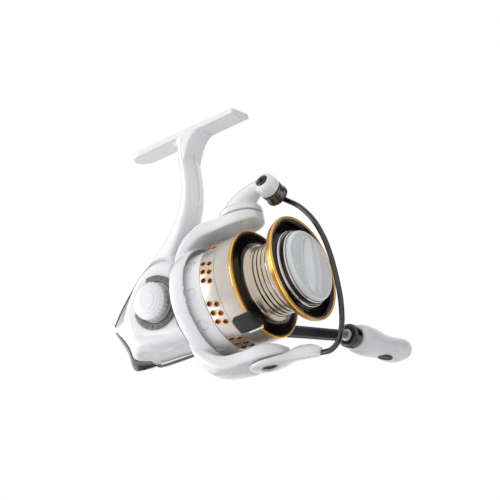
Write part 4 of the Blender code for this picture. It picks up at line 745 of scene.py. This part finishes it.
# ---------------------------------------------------------------- spool
def hole_spots():
    """(X, degrees round the skirt) of each hole: eight groups of two rows of three."""
    for group in range(8):
        for along, lean in ((-37.8, 1.5), (-34.2, -1.5)):
            for step in (10.0, 0.0, -10.0):
                yield along, 14.0 - 45.0 * group + step + lean


def spool_ring(name, profile, look, angle, stands_for=(), count=144):
    put(name, revolve_mesh(name, profile, count=count), look, "spool_body", stands_for, angle)


def make_spool():
    """Skirt with its holes, the rear flange, the ridged arbor and the lip."""
    skirt = revolve_mesh("skirt", [(-23.4, 24.95), (-23.4, 25.7), (-23.7, SKIRT_R), (-31.2, SKIRT_R), (-31.35, 25.5),
                                   (-31.75, 25.5), (-31.9, SKIRT_R), (-39.3, SKIRT_R), (-39.7, 25.6),
                                   (-39.7, 24.95)], count=180)
    holes = [oval_cutter(x, phi, 24.0, 27.0, HOLE_WIDE, HOLE_LONG, 16) for x, phi in hole_spots()]
    cut(skirt, merged(holes))
    put("skirt", skirt, CHAMPAGNE, "spool_body", ("spool",), 30)
    rims = [oval_rim(x, phi, 25.78, HOLE_WIDE, HOLE_LONG, 0.24, 16) for x, phi in hole_spots()]
    put("skirt_rims", merged(rims), COPPER, "spool_body", (), 60)
    spool_ring("skirt_lining", [(-24.0, 24.55), (-24.0, 24.95), (-39.6, 24.95), (-39.6, 24.55)],
               COPPER_DEEP, 30, count=120)
    spool_ring("skirt_edge", [(-39.7, 24.9), (-39.7, 25.66), (-40.0, 25.5), (-40.25, 25.1), (-40.25, 24.9)],
               COPPER, 30)
    spool_ring("skirt_gold_ring", fillet([(-23.3, 24.3), (-23.3, 25.8), (-22.6, 26.05), (-21.9, 25.75),
                                          (-21.75, 25.0), (-21.75, 24.3)], 0.3, 3),
               GOLD, 40, ("skirt_ring",))
    spool_ring("rear_flange", [(-21.85, 25.0), (-21.75, 24.6), (-21.72, 21.6), (-21.6, 19.9), (-21.2, 19.0),
                               (-20.4, 18.5), (-23.2, 18.5), (-23.2, 25.0)], BLACK_CHROME, 30)
    arbor = [(-21.0, 15.6), (-21.0, 18.5), (-19.9, 18.45), (-19.3, 18.1), (-18.9, 17.4), (-18.4, 17.1)]
    steps, start, length, pitch = 72, -18.0, 13.8, 2.3
    for k in range(steps + 1):
        x = start + length * k / steps
        arbor.append((x, 16.75 + 0.3 * abs(math.cos(math.pi * (x - start) / pitch)) ** 1.2))
    arbor += [(-3.9, 17.6), (-3.4, 18.6), (-3.4, 15.6)]
    spool_ring("arbor", arbor, ARBOR, 50)
    # The lip's rear side takes the darker gold, a painted shade for its dim reflection.
    spool_ring("lip_back", [(-3.5, 17.6), (-4.1, 20.0), (-3.9, 22.6), (-3.2, 24.2), (-1.45, 24.95), (-1.45, 24.0),
                            (-3.35, 23.8), (-3.4, 17.6)], GOLD_PAINTED_SHADE, 40)
    spool_ring("lip_gold_ring", fillet([(-1.4, 23.9), (-1.4, 24.95), (-0.6, 25.15), (0.1, 24.8), (0.15, 24.2),
                                        (-0.4, 23.9)], 0.25, 3), GOLD, 40, ("lip_ring",), 160)
    spool_ring("lip_face", [(-0.35, 24.0), (-0.7, 23.7), (-1.7, 23.1), (-2.1, 22.0), (-2.15, 20.6), (-1.75, 20.2),
                            (-1.75, 19.7), (-2.3, 19.4), (-2.4, 18.0), (-3.3, 18.0), (-3.3, 23.7)],
               BLACK_CHROME, 30, count=160)
    line_clip()


def line_clip():
    """Black clip on the skirt's front corner, with a bright metal strip on its lower edge as a painted highlight."""
    def patch(name, x0, x1, half, low, high, look, phi, stands_for=()):
        outline = fillet([(x0, -half), (x1, -half), (x1, half), (x0, half)],
                         min(2.0, half * 0.9, (x1 - x0) / 2.2), 5)
        rings = []
        for radius, grow in ((low, 0.0), (high - 0.3, 0.0), (high - 0.08, -0.12), (high, -0.35)):
            ring = []
            for x, u in outline:
                cx = (x0 + x1) / 2
                ring.append(on_skin(cx + (x - cx) * (1 + grow / (x1 - x0) * 2), phi, radius,
                                    u * (1 + grow / half)))
            rings.append(ring)
        put(name, loft_mesh(name, rings), look, "spool_body", stands_for, 35)
    patch("clip_plate", -30.9, -20.3, 4.6, 25.4, 27.0, BLACK_CLIP, -52.0, ("line_clip",))
    patch("clip_tongue", -29.3, -21.0, 3.1, 26.8, 27.5, BLACK_CLIP, -51.6)
    # Bright strip along the clip's lower edge, a painted highlight.
    patch("clip_painted_highlight", -27.2, -19.4, 0.62, 25.9, 27.3, CLIP_PAINTED_HIGHLIGHT, -62.9)


def cap_level(y, z):
    """Height of the drag knob's face: a dished disc with one long grip ridge."""
    r = math.hypot(y, z)
    tilt = math.radians(-9.0)
    along = z * math.cos(tilt) - y * math.sin(tilt)
    across = y * math.cos(tilt) + z * math.sin(tilt)
    rim = 4.3 - 1.2 * max(0.0, (r - 15.7) / 1.2) ** 2
    reach = max(0.0, 1.0 - (abs(along) / 14.2) ** 4) ** 0.8
    wide = 5.4 * (1.0 - 0.45 * (along / 14.2) ** 2)
    scoop = 1.5 * reach * math.exp(-((abs(across - 0.4) - 0.8 * wide) / 1.7) ** 2)
    ridge = 1.5 * reach * math.exp(-((across - 0.4) / (0.36 * wide)) ** 2)
    return rim - scoop + ridge


def make_knob():
    """Drag knob: its dished face, the row of dots and the silver steps behind it."""
    points, faces = [(cap_level(0, 0), 0, 0)], []
    count, knob_r, circles = 128, 16.9, 44
    rows = [[0] * count]
    for k in range(1, circles + 1):
        rows.append(list(range(len(points), len(points) + count)))
        for a in turns(count):
            y, z = knob_r * (k / circles) * math.cos(a), knob_r * (k / circles) * math.sin(a)
            points.append((cap_level(y, z), y, z))
    for level, radius in ((2.2, knob_r), (2.2, 14.0)):
        rows.append(list(range(len(points), len(points) + count)))
        points += [(level, radius * math.cos(a), radius * math.sin(a)) for a in turns(count)]
    for a, b in zip(rows, rows[1:]):
        faces += strip(a, b)
    faces.append(rows[-1])
    put("knob_cap", as_mesh("knob_cap", points, faces), CAP_WHITE, "drag", ("drag_knob",), 50)
    dots = []
    for k in range(9):
        a = math.radians(120 + 15 * k)
        y, z = 13.1 * math.cos(a), 13.1 * math.sin(a)
        top = cap_level(y, z)
        dots.append(revolve_mesh("dot", [(top - 0.3, 0), (top - 0.3, 0.46), (top + 0.1, 0.4), (top + 0.24, 0)],
                                 (0, y, z), (1, 0, 0), 12))
    # The dots are whiter than the cap, a painted highlight standing in for their glints.
    put("knob_dots", merged(dots), DOT_PAINTED_HIGHLIGHT, "drag", (), 60)
    rings = fillet([(-2.9, 9.3), (-2.9, 18.6), (-1.4, 18.6), (-0.9, 18.2), (-0.9, 17.5), (1.5, 17.4), (1.9, 17.1),
                    (1.9, 16.4), (2.9, 16.3), (2.9, 14.0), (1.6, 14.0), (1.6, 9.3)], 0.22, 2)
    put("knob_steps", revolve_mesh("knob_steps", rings, count=144), SILVER, "drag", ("knob_collar",),
        30)


make_spool()
make_knob()


# ---------------------------------------------------------------- bail
ROLLER = Vector((-10.5, 4.2, 42.4))
TILT = math.radians(25)
ROLL_AXIS = Vector((0, math.cos(TILT), -math.sin(TILT)))


def oval_ring(centre, normal, wide, tall):
    """Oval of points square to a direction."""
    normal = Vector(normal).normalized()
    side = Y_AXIS.cross(normal).normalized()
    rise = normal.cross(side)
    centre = Vector(centre)
    return [centre + side * wide * math.cos(a) + rise * tall * math.sin(a) for a in turns(28)]


def make_bail():
    """Upper bail arm with its screw, the line roller and the wire."""
    base = 35.9
    start = ROLLER - ROLL_AXIS * 9.5
    hood = revolve_mesh("hood", [(base, 0), (base, 10.2), (base + 1.2, 10.3), (base + 2.4, 9.9), (base + 3.6, 8.6),
                                 (base + 4.6, 6.0), (base + 5.0, 0)], BAIL_PIVOT, Z_AXIS, 64)
    neck = loft_mesh("neck", [
        oval_ring((-29.5, 0.2, 37.4), (0.55, 0, 1), 7.0, 7.4),
        oval_ring((-27.6, 0.0, 39.6), (0.7, 0, 1), 6.6, 7.0),
        oval_ring((-24.4, -0.5, 41.7), (0.95, 0, 0.9), 5.4, 6.4),
        oval_ring((-20.6, -1.0, 43.6), (1.0, 0, 0.62), 4.3, 5.4),
        oval_ring((-16.8, -1.3, 44.8), (1.0, 0, 0.4), 3.6, 4.6),
        oval_ring((-13.0, -1.4, 45.2), (1.0, 0, 0.2), 3.4, 4.2),
        oval_ring((-10.8, -1.4, 45.0), (1.0, 0, 0.1), 2.6, 3.4)])
    barrel = revolve_mesh("barrel", fillet(
        [(0, 0), (0, 3.2), (0.5, 4.3), (2.2, 5.25), (4.6, 5.5), (6.9, 5.3), (6.9, 0)], 0.5, 3, closed=False),
        start, ROLL_AXIS, 48)
    skin = fuse("bail_arm", [hood, neck, barrel], 0.4, 8)
    tools = [revolve_mesh("recess", [(-2, 0), (-2, 3.1), (1.5, 3.1), (1.5, 0)], start, ROLL_AXIS, 32),
             revolve_mesh("pivot", [(30, 0), (30, PIVOT_BORE_R), (38.6, PIVOT_BORE_R), (38.6, 0)],
                          BAIL_PIVOT, Z_AXIS, 24)]
    cut(skin, *tools)
    put("bail_hood", skin, WHITE, "bail", ("bail_arm",), 50)
    screw = revolve_mesh("screw", fillet([(-0.15, 0), (-0.15, 2.2), (0.3, 2.9), (1.3, 2.9), (1.3, 1.2), (13.0, 1.2),
                                          (13.0, 0)], 0.2, 2, closed=False), start, ROLL_AXIS, 32)
    side = ROLL_AXIS.orthogonal().normalized()
    tool = []
    for turn in (0.4, 0.4 + math.pi / 2):
        arm = Matrix.Rotation(turn, 3, ROLL_AXIS) @ side
        cross = ROLL_AXIS.cross(arm)
        pts = [start + ROLL_AXIS * d + arm * a + cross * c for d in (-0.9, 0.5) for a, c in
               ((-1.5, -0.36), (1.5, -0.36), (1.5, 0.36), (-1.5, 0.36))]
        tool.append(as_mesh("slot", pts, [[0, 1, 2, 3], [4, 5, 6, 7], [0, 1, 5, 4], [1, 2, 6, 5],
                                          [2, 3, 7, 6], [3, 0, 4, 7]]))
    cut(screw, tool[0], tool[1])
    put("roller_screw_head", screw, BLACK, "bail", ("roller_screw",), 30)
    half = 2.25
    put("roller", revolve_mesh("roller", fillet(
        [(-half, 2.4), (-half, 5.35), (-1.2, 5.3), (0, 5.2), (1.2, 5.3), (half, 5.6), (half, 2.4)], 0.3, 3),
        ROLLER, ROLL_AXIS, 64), GUN_LIGHT, "roller", ("line_roller",), 30)
    far = ROLLER + ROLL_AXIS * (half + 0.35)
    path = spline([far + ROLL_AXIS * 1.2, (-6.0, 8.0, 37.2), (0.6, 6.4, 31.2), (7.2, 4.4, 22.0), (11.4, 3.0, 12.0),
                   (13.6, 2.2, 2.0), (14.6, 1.8, -9.0), (14.4, 2.0, -20.0), (12.4, 2.6, -30.0), (8.6, 3.6, -36.8),
                   (3.4, 4.6, -39.6), (-1.6, 5.2, -39.2), (-4.2, 5.2, -38.4)], 8)
    wire = sweep_mesh("wire", path, lambda t: (1.25, 1.25), 20)
    cone = revolve_mesh("cone", fillet([(0, 0), (0, 5.3), (0.6, 5.5), (1.4, 4.6), (2.9, 2.1), (3.6, 1.3), (3.6, 0)],
                                       0.4, 3, closed=False), far, ROLL_AXIS, 40)
    put("bail_wire_loop", merged([wire, cone]), WIRE_METAL, "bail", ("bail_wire",), 40)
    bail_lever()


def bail_lever():
    """Lever on the lower arm: a round eye that runs out into the wire's socket."""
    base = -35.9
    stations = [
        (-36.6, 0.0, base - 1.3, 2.6, 0.9), (-35.2, 0.0, base - 1.4, 5.4, 1.3), (-32.8, 0.0, base - 1.5, 7.6, 1.5),
        (-29.5, 0.1, base - 1.6, 8.8, 1.6), (-26.5, 0.2, base - 1.6, 8.9, 1.6), (-23.0, 0.6, base - 1.5, 8.2, 1.6),
        (-19.6, 1.1, base - 1.3, 6.6, 1.7), (-16.4, 1.9, base - 1.0, 5.2, 2.1), (-13.4, 2.7, base - 0.6, 4.7, 2.8),
        (-10.2, 3.5, base - 0.6, 4.5, 3.2), (-7.0, 4.2, base - 1.0, 4.2, 3.2), (-4.6, 4.7, base - 1.5, 3.6, 2.9),
        (-3.0, 5.1, base - 1.9, 2.6, 2.2), (-2.2, 5.3, base - 2.1, 1.5, 1.4),
    ]
    rings = []
    for x, y, z, wide, tall in stations:
        rings.append([(x, y + wide * squared(math.cos(a), 0.8), z + tall * squared(math.sin(a), 0.8))
                      for a in turns(28)])
    skin = fuse("bail_lever", [loft_mesh("lever", rings)], 0.4, 6)
    cut(skin, revolve_mesh("recess", fillet([(base - 1.0, 0), (base - 1.0, 4.0), (base - 6, 4.6), (base - 6, 0)],
                                            0.1, 2, closed=False), BAIL_PIVOT, Z_AXIS, 40),
        revolve_mesh("eye", [(base + 1, 0), (base + 1, PIVOT_BORE_R), (base - 2, PIVOT_BORE_R), (base - 2, 0)],
                     BAIL_PIVOT, Z_AXIS, 24))
    put("lever_skin", skin, WHITE, "bail", ("bail_lever",), 50)
    head = fillet([(base - 1.1, 0), (base - 1.1, 3.9), (base - 2.2, 3.8), (base - 2.6, 2.6), (base - 2.0, 1.4),
                   (base - 1.9, 0)], 0.2, 2, closed=False)
    put("lever_screw_head", revolve_mesh("lever_screw", head, BAIL_PIVOT, Z_AXIS, 32), BLACK_CLIP, "bail",
        ("lever_screw",), 30)


make_bail()


# ---------------------------------------------------------------- handle
def make_handle():
    """Crank arm with its hub, collar, boss and rivet; a station is (share of length, Y, half sizes)."""
    droop = math.radians(22.3)
    along = Vector((math.cos(droop), 0.0, -math.sin(droop)))
    across = Vector((along.z, 0.0, -along.x))
    hub = GEAR_HUB
    stations = [
        (0.00, 34.2, 4.3, 2.6), (0.07, 35.6, 4.2, 2.6), (0.14, 38.6, 4.0, 2.6), (0.24, 45.0, 3.7, 2.5),
        (0.34, 50.6, 3.4, 2.4), (0.42, 52.7, 3.2, 2.3), (0.52, 53.7, 3.0, 2.2), (0.66, 54.8, 2.9, 2.1),
        (0.80, 55.8, 2.8, 2.0), (1.00, 57.0, 2.7, 1.9),
    ]
    rings = []
    for share, y, wide, thick in spline([Vector(s) for s in stations], 3):
        centre = hub + along * (share * CRANK_LENGTH)
        ring = []
        for a in turns(28):
            spot = centre + across * (wide * squared(math.cos(a), 0.62))
            ring.append((spot.x, y + thick * squared(math.sin(a), 0.62), spot.z))
        rings.append(ring)
    end = hub + along * CRANK_LENGTH
    knob_end = (end.x, CRANK_OUT, end.z)
    boss = revolve_mesh("boss", fillet([(-3.0, 2.5), (-3.0, 4.4), (-2.2, 5.7), (2.0, 5.9), (2.9, 5.0), (2.9, 2.5)],
                                       0.5, 3), knob_end, Y_AXIS, 64)
    disc = revolve_mesh("hub", fillet([(-4.0, 0), (-4.0, 6.8), (2.4, 6.8), (3.6, 6.0), (4.2, 3.0), (4.2, 0)], 0.7, 3,
                                      closed=False), (hub.x, 34.0, hub.z), Y_AXIS, 64)
    arm = loft_mesh("handle_arm", rings)
    cut(arm, revolve_mesh("clear", [(-6, 0), (-6, 2.5), (6, 2.5), (6, 0)], knob_end, Y_AXIS, 32))
    put("crank_arm", merged([arm, disc]), GUN, "handle", ("handle_arm",), 35)
    put("crank_boss", boss, BLACK_GLOSS, "handle", (), 35)
    put("boss_rivet", revolve_mesh("rivet", fillet([(-4.7, 0), (-4.7, 1.9), (-4.0, 2.9), (-3.2, 3.0), (-3.2, 2.2),
                                                    (30, 2.2), (30, 0)], 0.2, 2, closed=False),
                                   knob_end, Y_AXIS, 40), RIVET, "handle", ("knob_post",), 35)
    put("crank_collar", revolve_mesh("collar", fillet(
        [(17.9, 3.1), (17.9, 6.6), (20.0, 6.6), (22.0, 6.2), (27.0, 5.4), (29.6, 5.2), (29.6, 3.1)], 0.5, 3),
        hub, Y_AXIS, 64), GUN, "handle", ("handle_collar",), 35)
    grip(end)


def grip(end):
    """Flattened knob with a waist, and a dark patch underneath as painted shade."""
    start, length = 60.6, 43.0
    stations = [
        (0.00, 4.6, 4.4, 0.0), (0.015, 5.9, 5.5, 0.0), (0.06, 6.9, 6.3, 0.0), (0.14, 7.3, 6.6, -0.1),
        (0.24, 7.4, 6.5, -0.3), (0.36, 7.2, 6.0, -0.5), (0.46, 6.9, 5.4, -0.6), (0.56, 6.9, 5.0, -0.6),
        (0.68, 7.4, 5.0, -0.6), (0.80, 7.9, 5.2, -0.5), (0.88, 7.7, 5.1, -0.4), (0.94, 6.8, 4.6, -0.3),
        (0.98, 5.0, 3.6, -0.1), (1.00, 3.0, 2.2, 0.0),
    ]
    rings = []
    for share, wide, tall, drop in spline([Vector(s) for s in stations], 3):
        y = start + share * length
        rings.append([(end.x + wide * squared(math.cos(a), 0.78), y,
                       end.z + drop + tall * squared(math.sin(a), 0.86)) for a in turns(40)])
    skin = loft_mesh("grip", rings)
    cut(skin, revolve_mesh("bore", [(50, 0), (50, 2.5), (98, 2.5), (98, 0)], (end.x, 0, end.z), Y_AXIS, 24))
    put("grip_skin", skin, GRIP_WHITE, "grip", ("handle_knob",), 50)
    # Dark patch under the grip: painted shade.
    shade_patch = []
    for w, h, d in ((2.4, 5.6, -6.1), (2.4, 5.6, -5.3), (2.0, 5.0, -4.9)):
        shade_patch.append([(end.x + w * math.cos(a), 85.5 + h * math.sin(a), end.z + d) for a in turns(24)])
    put("grip_painted_shade", loft_mesh("shade_patch", shade_patch), TICK_DARK_AND_PAINTED_SHADE, "grip", (), 40)


make_handle()


# ---------------------------------------------------------------- carried-over nodes
def dress(look, *nodes):
    """Gives nodes of the CAD that stay in the picture their material."""
    for node in nodes:
        mesh_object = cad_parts[node]
        for slot in mesh_object.material_slots:
            slot.link = "OBJECT"
            slot.material = look


dress(STEEL, "cover_screw_1", "cover_screw_2", "cover_screw_3", "drive_bearing_near", "drive_bearing_far",
      "pinion_bearing", "drive_shaft", "guide_rod_1", "guide_rod_2", "clutch_sleeve", "rotor_nut", "bail_spring",
      "bail_kick_rod", "main_shaft", "drag_nut", "drag_spring", "drag_retainer", "oscillation_post")
dress(BRASS, "pinion_gear", "roller_bush", "spool_seat")
dress(ZINC, "drive_gear")
dress(GREY, "oscillation_pinion", "oscillation_gear", "oscillation_slider", "rod_holder", "clutch_ring")
dress(FELT, "drag_washer_1", "drag_washer_2", "drag_washer_3")
dress(GUN, "front_plate")


# ---------------------------------------------------------------- stage, lights and camera
def look_at(obj, target):
    obj.rotation_euler = (Vector(target) - obj.location).to_track_quat("-Z", "Y").to_euler()


def softbox(name, spot, size, power):
    data = bpy.data.lights.new(name, "AREA")
    data.shape = "RECTANGLE"
    data.size, data.size_y = size
    data.energy = power
    lamp = add(name, data)
    lamp.location = spot
    look_at(lamp, MIDDLE)


def card(name, direction, distance, size, tone, shade=True):
    """Dark card that the camera can't see: it shows in reflections and, with shade, dims the fill."""
    data = bpy.data.meshes.new(name)
    w, h = size[0] / 2, size[1] / 2
    data.from_pydata([(-w, -h, 0), (w, -h, 0), (w, h, 0), (-w, h, 0)], [], [(0, 1, 2, 3)])
    data.materials.append(Graph(name + "_card", (tone, tone, tone), rough=0.9, specular=0.0).mat)
    board = add(name, data)
    board.location = MIDDLE + Vector(direction).normalized() * distance
    look_at(board, MIDDLE)
    board.visible_camera = False
    board.visible_shadow = shade


MIDDLE = Vector((0.0, 0.0, -0.08))
FLOOR_HALF, FLOOR_Z = 4, -0.62
world = bpy.data.worlds.new("studio")
world.use_nodes = True
world.node_tree.nodes["Background"].inputs["Color"].default_value = (1, 1, 1, 1)
world.node_tree.nodes["Background"].inputs["Strength"].default_value = 1.0
bpy.context.scene.world = world
bpy.context.scene.view_settings.view_transform = "Standard"

floor_mesh = bpy.data.meshes.new("floor")
corners = ((-1, -1), (1, -1), (1, 1), (-1, 1))
floor_mesh.from_pydata([(x * FLOOR_HALF, y * FLOOR_HALF, FLOOR_Z) for x, y in corners], [], [(0, 1, 2, 3)])
floor_mesh.materials.append(plastic("floor_paper", (0.9, 0.9, 0.9), 0.85, 0.9, 60, 0.0, 0.0, 0.006))
add("floor", floor_mesh)

card("card_top", (-0.50, 0.52, 0.69), 0.75, (0.5, 0.62), 0.01)
card("card_low", (-0.50, 0.52, -0.69), 0.75, (0.5, 0.62), 0.02, False)
card("card_front", (0.62, 0.70, 0.30), 0.8, (0.5, 0.6), 0.02)
card("card_under", (0.62, -0.05, -0.78), 0.5, (0.42, 0.3), 0.05)
softbox("key_left", (-0.88, -0.42, 0.25), (0.5, 0.5), 4.5)
softbox("fill_low", (-0.75, -0.45, -0.50), (0.6, 0.6), 1.8)

data = bpy.data.cameras.new("camera")
data.lens = 175.8
data.sensor_width = 36.0
data.clip_start = 0.05
camera = add("camera", data)
right = Vector((0.79689668, 0.57834897, -0.17455126))
upward = Vector((0.34093799, -0.19202771, 0.92026444))
back = right.cross(upward)
spot = Vector((0.58177016, -0.88919385, -0.46017021))
camera.matrix_world = Matrix((
    (right.x, upward.x, back.x, spot.x), (right.y, upward.y, back.y, spot.y),
    (right.z, upward.z, back.z, spot.z), (0, 0, 0, 1)))
bpy.context.scene.camera = camera
